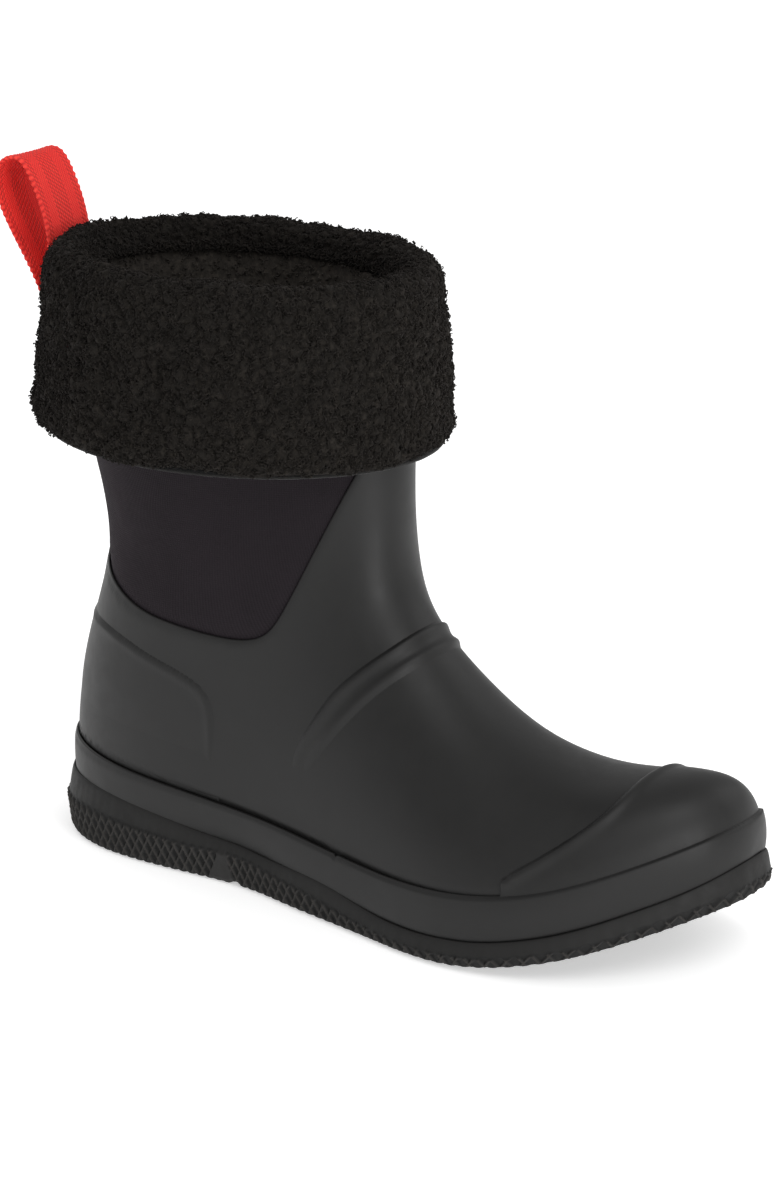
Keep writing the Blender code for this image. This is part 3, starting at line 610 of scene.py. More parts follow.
class Paint:
    """A Principled material whose colour, roughness and relief come from procedural nodes."""

    def __init__(self, name, roughness=0.6, metallic=0.0, specular=0.5, sheen=0.0, sheen_tint=None,
                 sheen_roughness=0.5):
        self.made = bpy.data.materials.new(name)
        self.made.use_nodes = True
        self.tree = self.made.node_tree
        self.shader = self.tree.nodes["Principled BSDF"]
        self.shader.inputs["Roughness"].default_value = roughness
        self.shader.inputs["Metallic"].default_value = metallic
        self.shader.inputs["Specular IOR Level"].default_value = specular
        self.shader.inputs["Sheen Weight"].default_value = sheen
        self.shader.inputs["Sheen Roughness"].default_value = sheen_roughness
        if sheen_tint is not None:
            self.shader.inputs["Sheen Tint"].default_value = (*sheen_tint, 1.0)
        self.height = None
        place = self.node("ShaderNodeTexCoord")
        scale = self.node("ShaderNodeVectorMath", operation="SCALE")
        scale.inputs["Scale"].default_value = 1 / MM
        self.link(place.outputs["Object"], scale.inputs[0])
        self.place = scale.outputs[0]

    def node(self, kind, **settings):
        """New node with settings."""
        made = self.tree.nodes.new(kind)
        for key, value in settings.items():
            setattr(made, key, value)
        return made

    def link(self, start, end):
        """Join two sockets."""
        self.tree.links.new(start, end)

    def put(self, socket, value):
        """Link or set a socket."""
        if isinstance(value, bpy.types.NodeSocket):
            self.link(value, socket)
        else:
            socket.default_value = value

    def maths(self, operation, first, second=0.0, third=None):
        """One sum."""
        made = self.node("ShaderNodeMath", operation=operation)
        self.put(made.inputs[0], first)
        self.put(made.inputs[1], second)
        if third is not None:
            self.put(made.inputs[2], third)
        return made.outputs[0]

    def noise(self, size, detail=2.0, rough=0.5, stretch=(1, 1, 1), warp=0.0):
        """Noise with features of a size in millimetres, about 0.5 on average."""
        source = self.place
        if stretch != (1, 1, 1):
            mapping = self.node("ShaderNodeMapping")
            mapping.inputs["Scale"].default_value = stretch
            self.link(source, mapping.inputs["Vector"])
            source = mapping.outputs["Vector"]
        made = self.node("ShaderNodeTexNoise")
        made.inputs["Scale"].default_value = 1 / size
        made.inputs["Detail"].default_value = detail
        made.inputs["Roughness"].default_value = rough
        made.inputs["Distortion"].default_value = warp
        self.link(source, made.inputs["Vector"])
        return made.outputs["Fac"]

    def cells(self, size, feature="F1"):
        """Distance in cells of a size in millimetres."""
        made = self.node("ShaderNodeTexVoronoi", feature=feature)
        made.inputs["Scale"].default_value = 1 / size
        self.link(self.place, made.inputs["Vector"])
        return made.outputs["Distance"]

    def ramp(self, value, *stops):
        """Colour ramp with (place, colour) stops."""
        made = self.node("ShaderNodeValToRGB")
        points = made.color_ramp.elements
        while len(points) < len(stops):
            points.new(0.5)
        for point, (place, colour) in zip(points, stops):
            point.position = place
            point.color = (*colour, 1.0)
        self.put(made.inputs[0], value)
        return made.outputs["Color"]

    def spread(self, value, low, high):
        """Number between low and high as the value goes from 0.3 to 0.7."""
        made = self.node("ShaderNodeMapRange")
        made.inputs["From Min"].default_value = 0.3
        made.inputs["From Max"].default_value = 0.7
        made.inputs["To Min"].default_value = low
        made.inputs["To Max"].default_value = high
        self.put(made.inputs["Value"], value)
        return made.outputs["Result"]

    def mix(self, share, first, second, blend="MIX"):
        """Mixed colours."""
        made = self.node("ShaderNodeMix", data_type="RGBA", blend_type=blend)
        self.put(made.inputs[0], share)
        for socket, value in ((made.inputs[6], first), (made.inputs[7], second)):
            self.put(socket, value if isinstance(value, bpy.types.NodeSocket) else (*value, 1.0))
        return made.outputs[2]

    def colour(self, value):
        """Set the base colour."""
        self.put(self.shader.inputs["Base Color"], value)

    def rough(self, value):
        """Set the roughness."""
        self.put(self.shader.inputs["Roughness"], value)

    def relief(self, height, depth):
        """Add a bump layer of a depth in millimetres."""
        bump = self.node("ShaderNodeBump")
        bump.inputs["Strength"].default_value = 1.0
        bump.inputs["Distance"].default_value = depth * MM
        self.link(height, bump.inputs["Height"])
        if self.height is not None:
            self.link(self.height, bump.inputs["Normal"])
        self.height = bump.outputs["Normal"]
        self.link(self.height, self.shader.inputs["Normal"])


def grey(value, warmth=0.0):
    """Near-grey colour; warmth above zero leans to brown."""
    return (value * (1 + warmth), value, value * (1 - warmth))


def rubber_paint():
    """Satin black moulded rubber: faint cloudiness, fine grain and a slight bloom."""
    paint = Paint("rubber_black", specular=0.34)
    cloud = paint.noise(38.0, detail=4.0, rough=0.6)
    bloom = paint.noise(9.0, detail=6.0, rough=0.65, warp=0.4)
    colour = paint.ramp(cloud, (0.25, grey(0.0062, 0.03)), (0.75, grey(0.0090, 0.02)))
    paint.colour(paint.mix(paint.spread(bloom, 0.0, 0.35), colour, grey(0.0135, 0.02)))
    paint.rough(paint.spread(bloom, 0.44, 0.53))
    paint.relief(paint.noise(0.5, detail=3.0), 0.012)
    paint.relief(paint.noise(14.0, detail=3.0), 0.10)
    return paint.made


def sole_paint():
    """Matte black sole rubber with random dust, painted shade in the knurl's grooves and a dusty painted
    highlight on its ribs.
    """
    paint = Paint("sole_rubber", specular=0.30)
    dust = paint.noise(5.0, detail=8.0, rough=0.7)
    cloud = paint.noise(30.0, detail=3.0)
    colour = paint.ramp(cloud, (0.3, grey(0.0055, 0.03)), (0.7, grey(0.0085, 0.03)))
    colour = paint.mix(paint.spread(dust, 0.0, 0.45), colour, grey(0.019, 0.06))
    # The UV map's Y follows the knurl's relief: darker in the grooves as painted shade, lighter and warmer on
    # the ribs as painted highlight with dust.
    uv = paint.node("ShaderNodeUVMap", uv_map="wear")
    parts = paint.node("ShaderNodeSeparateXYZ")
    paint.link(uv.outputs["UV"], parts.inputs[0])
    ribs = paint.ramp(parts.outputs["Y"], (0.05, grey(0.003, 0.02)), (0.40, grey(0.012, 0.04)),
                      (0.80, grey(0.036, 0.10)))
    paint.colour(paint.mix(0.7, colour, ribs))
    paint.rough(paint.spread(dust, 0.52, 0.72))
    paint.relief(paint.noise(0.45, detail=4.0), 0.03)
    return paint.made


def knit_paint():
    """Knit face of the neoprene: fine upright wales crossed by courses."""
    paint = Paint("neoprene_knit", roughness=0.85, specular=0.14, sheen=0.05, sheen_roughness=0.45,
                  sheen_tint=(0.80, 0.62, 0.74))
    uv = paint.node("ShaderNodeUVMap", uv_map="knit")
    parts = paint.node("ShaderNodeSeparateXYZ")
    paint.link(uv.outputs["UV"], parts.inputs[0])
    up = paint.node("ShaderNodeSeparateXYZ")
    paint.link(paint.place, up.inputs[0])
    wale = paint.maths("SINE", paint.maths("MULTIPLY", parts.outputs["X"], TAU * 430))
    course = paint.maths("SINE", paint.maths("MULTIPLY", up.outputs["Z"], TAU / 0.85))
    stitch = paint.maths("ADD", paint.maths("MULTIPLY", wale, 0.32), paint.maths("MULTIPLY", course, 0.18))
    height = paint.maths("ADD", stitch, 0.5)
    cloud = paint.noise(24.0, detail=4.0)
    fuzz = paint.noise(0.6, detail=4.0)
    colour = paint.ramp(cloud, (0.25, (0.0078, 0.0060, 0.0074)), (0.75, (0.0115, 0.0088, 0.0108)))
    colour = paint.mix(paint.spread(height, 0.0, 0.5), colour, (0.0180, 0.0142, 0.0172))
    paint.colour(paint.mix(paint.spread(fuzz, 0.0, 0.30), colour, (0.024, 0.019, 0.023)))
    paint.rough(paint.spread(fuzz, 0.80, 0.94))
    paint.relief(height, 0.16)
    paint.relief(paint.noise(7.0, detail=4.0), 0.35)
    return paint.made


def fleece_paint(name="fleece_black", lift=1.0):
    """Curly pile: near-black fibres with brown speckles painted at random as highlights of light passing
    through them.
    """
    # lift scales every colour; the lining's copy uses it to paint light into the shade inside the boot.
    paint = Paint(name, roughness=0.95, specular=0.06, sheen=0.05, sheen_roughness=0.55,
                  sheen_tint=(0.72, 0.66, 0.64))
    tone_and_highlight = paint.noise(2.2, detail=3.0, rough=0.6)
    patch = paint.noise(15.0, detail=3.0)
    strand_and_highlight = paint.noise(0.35, detail=3.0, rough=0.7, stretch=(1.0, 1.0, 0.5))
    # The lighter, browner colours here and the light strands below are painted fibre highlights, placed at
    # random by noise.
    colour = paint.ramp(tone_and_highlight, (0.28, grey(0.0035 * lift, 0.06)), (0.5, grey(0.0085 * lift, 0.12)),
                        (0.72, grey(0.0220 * lift, 0.16)))
    colour = paint.mix(paint.spread(patch, 0.0, 0.4), colour, grey(0.0045 * lift, 0.0))
    paint.colour(paint.mix(paint.spread(strand_and_highlight, 0.0, 0.5), colour, grey(0.0260 * lift, 0.14)))
    paint.rough(paint.spread(tone_and_highlight, 0.88, 0.98))
    paint.relief(strand_and_highlight, 0.12)
    return paint.made


def webbing_paint():
    """Red ribbed webbing: a painted highlight brightens the ribs and painted shade deepens the red between
    the threads.
    """
    paint = Paint("red_webbing", roughness=0.62, specular=0.22, sheen=0.08, sheen_roughness=0.4,
                  sheen_tint=(1.0, 0.45, 0.40))
    uv = paint.node("ShaderNodeUVMap", uv_map="weave")
    parts = paint.node("ShaderNodeSeparateXYZ")
    paint.link(uv.outputs["UV"], parts.inputs[0])
    fibre = paint.noise(0.30, detail=4.0, rough=0.65)
    patch = paint.noise(9.0, detail=3.0)
    # Colour by the relief in the UV's Y: deep red between the threads is painted shade, bright red on the
    # ribs is painted highlight.
    colour = paint.ramp(parts.outputs["Y"], (0.05, (0.20, 0.001, 0.005)), (0.5, (0.80, 0.010, 0.016)),
                        (0.95, (0.98, 0.050, 0.036)))
    colour = paint.mix(paint.spread(fibre, 0.0, 0.40), colour, (1.0, 0.140, 0.085))
    paint.colour(paint.mix(paint.spread(patch, 0.0, 0.25), colour, (0.70, 0.008, 0.016)))
    paint.rough(paint.spread(fibre, 0.55, 0.75))
    paint.relief(fibre, 0.06)
    return paint.made


def cloth_paint(name, colour, thread=0.5, depth=0.12, sheen=0.15, warmth=0.0, roughness=(0.8, 0.95)):
    """Plain woven or brushed cloth with threads of a width in millimetres."""
    paint = Paint(name, specular=0.2, sheen=sheen)
    parts = paint.node("ShaderNodeSeparateXYZ")
    paint.link(paint.place, parts.inputs[0])
    side = paint.maths("ADD", parts.outputs["X"], parts.outputs["Y"])
    over = paint.maths("SINE", paint.maths("MULTIPLY", side, math.pi / thread))
    under = paint.maths("SINE", paint.maths("MULTIPLY", parts.outputs["Z"], math.pi / thread))
    weave = paint.maths("ADD", paint.maths("MULTIPLY", paint.maths("MULTIPLY", over, under), 0.4), 0.5)
    fuzz = paint.noise(1.3, detail=5.0, rough=0.6)
    low = tuple(c * 0.75 for c in colour)
    high = tuple(c * 1.35 * (1 + warmth * k) for c, k in zip(colour, (1, 0, -1)))
    base = paint.ramp(fuzz, (0.3, low), (0.7, colour))
    paint.colour(paint.mix(paint.spread(weave, 0.0, 0.6), base, high))
    paint.rough(paint.spread(fuzz, *roughness))
    paint.relief(weave, depth)
    paint.relief(fuzz, depth)
    return paint.made


def foam_paint(name, colour, pore=0.9, depth=0.15, roughness=(0.75, 0.92)):
    """Cellular foam or pressed filler with fine pores."""
    paint = Paint(name, specular=0.25)
    pores = paint.cells(pore)
    cloud = paint.noise(12.0, detail=5.0)
    base = paint.ramp(cloud, (0.3, tuple(c * 0.85 for c in colour)), (0.7, tuple(c * 1.12 for c in colour)))
    paint.colour(paint.mix(paint.spread(pores, 0.35, 0.0), base, tuple(c * 0.55 for c in colour)))
    paint.rough(paint.spread(cloud, *roughness))
    paint.relief(pores, depth)
    return paint.made


def fibre_paint(name, colour, grain=2.0):
    """Pressed fibre board or thermoplastic sheet with flecks."""
    paint = Paint(name, specular=0.3)
    fleck = paint.noise(grain, detail=7.0, rough=0.7, stretch=(1.0, 0.3, 1.0), warp=0.6)
    cloud = paint.noise(20.0, detail=3.0)
    base = paint.ramp(fleck, (0.3, tuple(c * 0.7 for c in colour)), (0.7, tuple(c * 1.15 for c in colour)))
    paint.colour(paint.mix(paint.spread(cloud, 0.0, 0.4), base, tuple(c * 0.9 for c in colour)))
    paint.rough(paint.spread(fleck, 0.65, 0.88))
    paint.relief(fleck, 0.08)
    return paint.made


def steel_paint():
    """Rolled steel strip with lengthwise scratches."""
    paint = Paint("shank_steel", metallic=1.0)
    scratch = paint.noise(0.5, detail=6.0, stretch=(1.0, 0.04, 1.0))
    cloud = paint.noise(16.0, detail=3.0)
    base = paint.ramp(scratch, (0.3, (0.42, 0.42, 0.44)), (0.7, (0.60, 0.60, 0.61)))
    paint.colour(paint.mix(paint.spread(cloud, 0.0, 0.3), base, (0.44, 0.42, 0.40)))
    paint.rough(paint.spread(scratch, 0.28, 0.46))
    paint.relief(scratch, 0.01)
    return paint.made


def floor_paint():
    """Plain pale studio floor."""
    paint = Paint("studio_floor", specular=0.1)
    cloud = paint.noise(400.0, detail=2.0)
    paint.colour(paint.ramp(cloud, (0.3, (0.90, 0.90, 0.90)), (0.7, (0.93, 0.93, 0.93))))
    paint.rough(0.9)
    paint.shader.inputs["Emission Color"].default_value = (1.0, 1.0, 1.0, 1.0)
    paint.shader.inputs["Emission Strength"].default_value = FLOOR_GLOW
    return paint.made


def make_paints():
    """Every finish, by slot name."""
    return {
        "rubber_black": rubber_paint(),
        "sole_rubber": sole_paint(),
        "neoprene_knit": knit_paint(),
        "fleece_black": fleece_paint(),
        "red_webbing": webbing_paint(),
        "red_thread": cloth_paint("red_thread", (0.60, 0.020, 0.028), thread=0.35, depth=0.10, sheen=0.3),
        "backing_cloth": cloth_paint("backing_cloth", grey(0.020), thread=0.6),
        "binding_tape": cloth_paint("binding_tape", grey(0.014, 0.04), thread=0.45),
        # The lining takes the fleece finish 2.6 times brighter: painted light that makes up for the shade
        # inside the boot's mouth.
        "lining_cloth": fleece_paint("lining_cloth", 2.6),
        "footbed_foam": foam_paint("footbed_foam", grey(0.10)),
        "footbed_cover": cloth_paint("footbed_cover", grey(0.026), thread=0.5, depth=0.10),
        "board_fibre": fibre_paint("board_fibre", (0.36, 0.25, 0.15)),
        "filler_foam": foam_paint("filler_foam", (0.55, 0.53, 0.48), pore=1.6, depth=0.25),
        "shank_steel": steel_paint(),
        "stiffener_fibre": fibre_paint("stiffener_fibre", (0.52, 0.47, 0.38), grain=1.2),
    }


def finish_piece(made, body, slot, *nodes):
    """Let a piece ride on its body and stand for its nodes."""
    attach(made, body)
    if nodes:
        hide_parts(*nodes)
    return made


# ---------------------------------------------------------------- the upper


def shell_depth(foxing_top):
    """Outer depth of the shell: a groove where the foxing ends and a soft lip along the window."""
    def depth(points, away, t, angle):
        rise = points[..., 2] - feather_up(points[..., 1]) - foxing_top
        reach = np.interp(points[..., 1], (130.0, 210.0), (1.1, 0.3))
        groove = -reach * np.exp(-((rise - 0.5) / 0.95) ** 2)
        lip = -0.5 * (1 - smooth_step(away / 1.6)) * (points[..., 2] > 90)
        return groove + lip
    return depth


def moulded(height, ridge, edge_soft=2.6, ridge_at=3.2, ridge_wide=1.9, sink=-0.35):
    """Outer depth of a layer that rises softly from the shell to a rounded ridge and then a lower field."""
    def depth(points, away, t, angle):
        rise = smooth_step(away / edge_soft)
        crown = ridge * np.exp(-((away - ridge_at) / ridge_wide) ** 2)
        return sink + (height - sink) * rise + crown * rise
    return depth


def near_line(line, reach=0.6):
    """Picks the places close to a side-view line."""
    def pick(points):
        nearest, _ = line_distance(points, line)
        return nearest < reach
    return pick


def make_upper(paints):
    """Rubber shell and its moulded layers, the neoprene sleeve, stiffeners and linings."""
    rubber = paints["rubber_black"]
    window = rounded_line(WINDOW)
    window_field = within(window)
    whole = even_places(250, 230)
    shell_field = both(above_sole(GAP), below(SHELL_TOP), outside(window_field))
    made = layer("rubber_shell_skin", whole, shell_field, shell_depth(FOXING_HIGH), SHELL[1], rubber)
    finish_piece(made, "boot", "rubber_black", "rubber_shell")
    make_foxing(rubber)
    make_moulded_layers(rubber)
    make_sleeve(paints["neoprene_knit"], window)
    fibre = paints["stiffener_fibre"]
    puff_line = np.vstack([sole_line(3.0, 242.0, 302.0, 14), [(302, 84), (242, 84)]])
    made = layer("toe_puff_sheet", even_places(60, 130, 0.0, 5.0), within(puff_line), *STIFFENER, fibre)
    finish_piece(made, "boot", "stiffener_fibre", "toe_puff")
    counter_line = np.vstack([sole_line(3.0, -14.0, 68.0, 14), [(68, 62), (56, 72), (40, 78), (-14, 84)]])
    made = layer("heel_stiffener_sheet", even_places(110, 130, 7.0, 12.0), within(counter_line), *STIFFENER,
                 fibre)
    finish_piece(made, "boot", "stiffener_fibre", "heel_stiffener")
    make_linings(paints["lining_cloth"])


def make_foxing(rubber):
    """Smooth rubber band round the lower edge of the upper, with a rounded, crisp top edge."""
    def outer(points, away, t, angle):
        rise = (points[..., 2] - feather_up(points[..., 1])) / FOXING_HIGH
        belly = 0.25 * np.sin(np.pi * np.clip(rise, 0, 1))
        drop = np.interp(points[..., 1], (150.0, 225.0), (0.55, 1.25))
        shoulder = -drop * (1 - smooth_step(away / 1.6)) * (rise > 0.5)
        return FOXING_OUT - 0.35 + belly + shoulder
    field = both(lambda p: p[..., 2] - crease_up(p[..., 1]) - 0.05, outside(above_sole(FOXING_HIGH)))
    made = layer("foxing_band", even_places(420, 460, 0.0, 13.0), field, outer, 0.25, rubber, rim=0.5)
    finish_piece(made, "boot", "rubber_black", "foxing_strip")


def make_moulded_layers(rubber):
    """Toe cap, instep band, heel counter, heel patch and back stay."""
    low = FOXING_HIGH - 4.0
    cap_edge = rounded_line(TOE_CAP_EDGE)
    cap = np.vstack([sole_line(low, 222.0, 302.0, 20), [(304, 92)], cap_edge])
    made = layer("toe_cap_layer", even_places(190, 260, 0.0, 6.0), within(cap), moulded(0.75, 0.75),
                 OVERLAY_INNER, rubber, rim=0.1, feathered=near_line(cap_edge))
    finish_piece(made, "boot", "rubber_black", "toe_cap")
    counter_edge = rounded_line(COUNTER_EDGE)
    counter = np.vstack([sole_line(low, -16.0, 88.0, 30), counter_edge])

    def counter_depth(points, away, t, angle):
        fade = smooth_step((points[..., 2] - feather_up(points[..., 1]) - FOXING_HIGH - 4.0) / 30.0)
        rise = smooth_step(away / 3.0)
        crown = 0.42 * np.exp(-((away - 3.0) / 1.7) ** 2)
        return -0.4 + (0.85 + crown) * rise * fade
    made = layer("heel_counter_layer", even_places(260, 300, 7.0, 13.0), within(counter),
                 counter_depth, OVERLAY_INNER, rubber, rim=0.1, feathered=near_line(counter_edge))
    finish_piece(made, "boot", "rubber_black", "heel_counter")
    rear = rounded_line(INSTEP_REAR_EDGE)
    front = rounded_line(INSTEP_FRONT_EDGE)
    band = np.vstack([rear[::-1], front])
    both_edges = np.vstack([rear, [(1e3, 1e3)], front])

    def band_depth(points, away, t, angle):
        fade = smooth_step((points[..., 2] - 44.0) / 34.0)
        rise = smooth_step(away / 3.4)
        crown = 0.95 * np.exp(-((away - 3.6) / 2.1) ** 2)
        return -0.4 + (0.80 + crown) * rise * fade
    made = layer("instep_band_layer", even_places(260, 320, 4.0, 11.0), within(band), band_depth,
                 OVERLAY_INNER, rubber, rim=0.1, feathered=near_line(both_edges))
    finish_piece(made, "boot", "rubber_black", "instep_band")
    patch_places = even_places(260, 420, 8.0, 12.0)
    patch_field = both(above_sole(FOXING_HIGH + 1.0), below(76.0), lambda p: 10.5 - p[..., 1],
                       lambda p: 9.0 - np.abs(p[..., 0] + 1.0), lambda p: p[..., 2] - 43.0)
    made = layer("heel_patch_pad", patch_places, patch_field,
                 moulded(1.75, 0.0, edge_soft=1.2, sink=0.3), 0.25, rubber, rim=0.2)
    finish_piece(made, "boot", "rubber_black", "heel_patch")
    stay_field = both(below(SHELL_TOP - 0.4), lambda p: p[..., 2] - 94.0, lambda p: 40.0 - p[..., 1],
                      lambda p: 6.0 - np.abs(p[..., 0]))
    made = layer("back_stay_strip", even_places(240, 420, 9.0, 14.0), stay_field,
                 moulded(0.9, 0.25, edge_soft=1.6, ridge_at=1.6, ridge_wide=0.8), OVERLAY_INNER, rubber,
                 rim=0.2)
    finish_piece(made, "boot", "rubber_black", "back_stay")


def make_sleeve(knit, window):
    """Neoprene sleeve: it swells a little through the window of the shell and above it."""
    def outer(points, away, t, angle):
        free = within(window)(points)
        over = smooth_step((free - 0.2) / 4.5)
        soft = 0.22 * noise(points, 16.0, 5) + 0.10 * noise(points, 7.0, 6)
        return SLEEVE[0] + over * (1.35 + soft)
    field = both(above_sole(GAP), below(SLEEVE_TOP))
    made = layer("neoprene_sleeve_tube", even_places(230, 210), field, outer, SLEEVE[1], knit, knit="knit")
    finish_piece(made, "boot", "neoprene_knit", "neoprene_sleeve")


def make_linings(cloth):
    """Brushed linings of the foot and the shaft, each with an uneven inner face."""
    def inner(points, away, t, angle):
        return LINING[1] + 0.45 * noise(points, 4.2, 8) + 0.2 * noise(points, 1.9, 9)
    foot = both(above_sole(GAP), below(FOOT_LINING_TOP - 0.3))
    made = layer("foot_lining_sock", even_places(170, 190, 0.0, 13.0), foot, LINING[0], inner, cloth)
    finish_piece(made, "boot", "lining_cloth", "foot_lining")
    shaft = both(lambda p: p[..., 2] - FOOT_LINING_TOP, below(SLEEVE_TOP))
    made = layer("shaft_lining_tube", even_places(150, 220, 7.0, LAST), shaft, LINING[0], inner, cloth)
    finish_piece(made, "boot", "lining_cloth", "shaft_lining")


# ---------------------------------------------------------------- the sole


def outline_rows(depth, above, count):
    """Outline of a skin just above the sole line: outer and inner rows of (side, forward), heel to toe."""
    t, angle = even_places(190, 200)
    points = surface(t, angle, depth)
    tree = BVHTree.FromPolygons([tuple(p) for p in points.reshape(-1, 3)],
                                [tuple(int(k) for k in q) for q in tube_faces(*t.shape)])
    heel_middle = np.array((-1.0, 42.0))
    toe_middle = np.array((5.0, 232.0))
    rows = []
    for hand in (-1.0, 1.0):
        rays = [(heel_middle, (hand * math.sin(a), -math.cos(a)))
                for a in np.linspace(0.0, math.pi / 2, 50)[:-1]]
        rays += [(heel_middle + (toe_middle - heel_middle) * s, (hand, 0.0)) for s in np.linspace(0, 1, 120)]
        rays += [(toe_middle, (hand * math.sin(a) + 0.24 * math.cos(a), math.cos(a)))
                 for a in np.linspace(math.pi / 2, 0.0, 70)[1:]]
        row = []
        for (side, forward), (go_side, go_forward) in rays:
            up = float(feather_up(forward)) + above
            hit = None
            for _ in range(6):
                heading = Vector((go_side, go_forward, 0)).normalized()
                found = tree.ray_cast(Vector((side, forward, up)), heading)
                if found[0] is None:
                    up += 3.0
                    continue
                hit = (found[0].x, found[0].y)
                up = float(feather_up(hit[1])) + above
            row.append(hit)
        row = np.array(row)
        for _ in range(3):
            row[1:-1] = row[1:-1] * 0.5 + (row[:-2] + row[2:]) * 0.25
        length = np.concatenate([[0.0], np.cumsum(np.linalg.norm(np.diff(row, axis=0), axis=1))])
        even = np.linspace(0, length[-1], count)
        rows.append(np.stack([np.interp(even, length, row[:, k]) for k in (0, 1)], axis=1))
    middle = (rows[0][[0, -1]] + rows[1][[0, -1]]) / 2
    for row in rows:
        row[[0, -1]] = middle
    return rows


def closed_loop(rows):
    """One loop from the two rows."""
    return np.vstack([rows[0], rows[1][-2:0:-1]])


def loop_normals(loop):
    """Outward directions in plan."""
    along = np.roll(loop, -2, axis=0) - np.roll(loop, 2, axis=0)
    out = unit(np.stack([along[:, 1], -along[:, 0]], axis=-1))
    if ((loop - loop.mean(axis=0)) * out).sum() < 0:
        out = -out
    return out


def cap_grid(ring, between):
    """Points and quads that fill a loop by straight lines between its two rows; returns the inner points."""
    loop = len(ring)
    count = loop // 2 + 1
    first = np.arange(count)
    second = (loop - first) % loop
    second[-1] = count - 1
    shares = np.arange(1, between) / between
    inner_first = ring[first[1:-1]]
    inner_second = ring[second[1:-1]]
    points = (inner_first[:, None] * (1 - shares)[None, :, None]
              + inner_second[:, None] * shares[None, :, None])
    names = np.empty((count - 2, between + 1), int)
    names[:, 0] = first[1:-1]
    names[:, -1] = second[1:-1]
    names[:, 1:-1] = loop + np.arange((count - 2) * (between - 1)).reshape(count - 2, between - 1)
    quads = np.stack([names[:-1, :-1], names[:-1, 1:], names[1:, 1:], names[1:, :-1]], axis=-1).reshape(-1, 4)
    heel = np.stack([np.zeros(between, int), names[0, 1:], names[0, :-1]], axis=-1)
    toe = np.stack([np.full(between, count - 1), names[-1, :-1], names[-1, 1:]], axis=-1)
    return points.reshape(-1, 3), quads, np.vstack([heel, toe])


SOLE_COUNT = 821
KNURL_LEAN = 7.5
KNURL_HIGH = (1.35, 1.0)
KNURL_RIB = 0.95
BAND_ROWS = 26
BAND_OFFSETS = (2.7, 4.5)
LEDGE_ROWS = 7
LEDGE_IN = 2.33
POCKET_DEEP = 6.0
PLAIN_DUST_AND_SHADE = 0.3
PAD_DUST_AND_SHADE = 0.45
PAD_FOOT = (82.0, 95.5)
PAD_HEAD = (88.0, 93.0)


def knurl(turns, pitch, height):
    """Relief of crossing ribs that leave long diamonds between them; the ribs that lean back are higher."""
    relief = 0.0
    for lean, high in zip((1.0, -1.0), KNURL_HIGH):
        phase = turns + lean * height / KNURL_LEAN
        off = np.abs((phase % 1.0) - 0.5) * pitch
        relief = np.maximum(relief, high * smooth_step(1.0 - off / KNURL_RIB))
    return relief


def tread_relief(points):
    """How far the tread is cut in at places on the underside: chevron grooves, none under the waist."""
    side, forward = points[..., 0], points[..., 1]
    bars = (forward + 0.45 * np.abs(side - 2.0)) / 8.5
    groove = smooth_step((np.abs((bars % 1.0) - 0.5) * 2 - 0.62) / 0.22)
    waist = smooth_step((9.0 - np.abs(forward - 89.0)) / 3.0)
    return 1.9 * groove * (1 - waist)


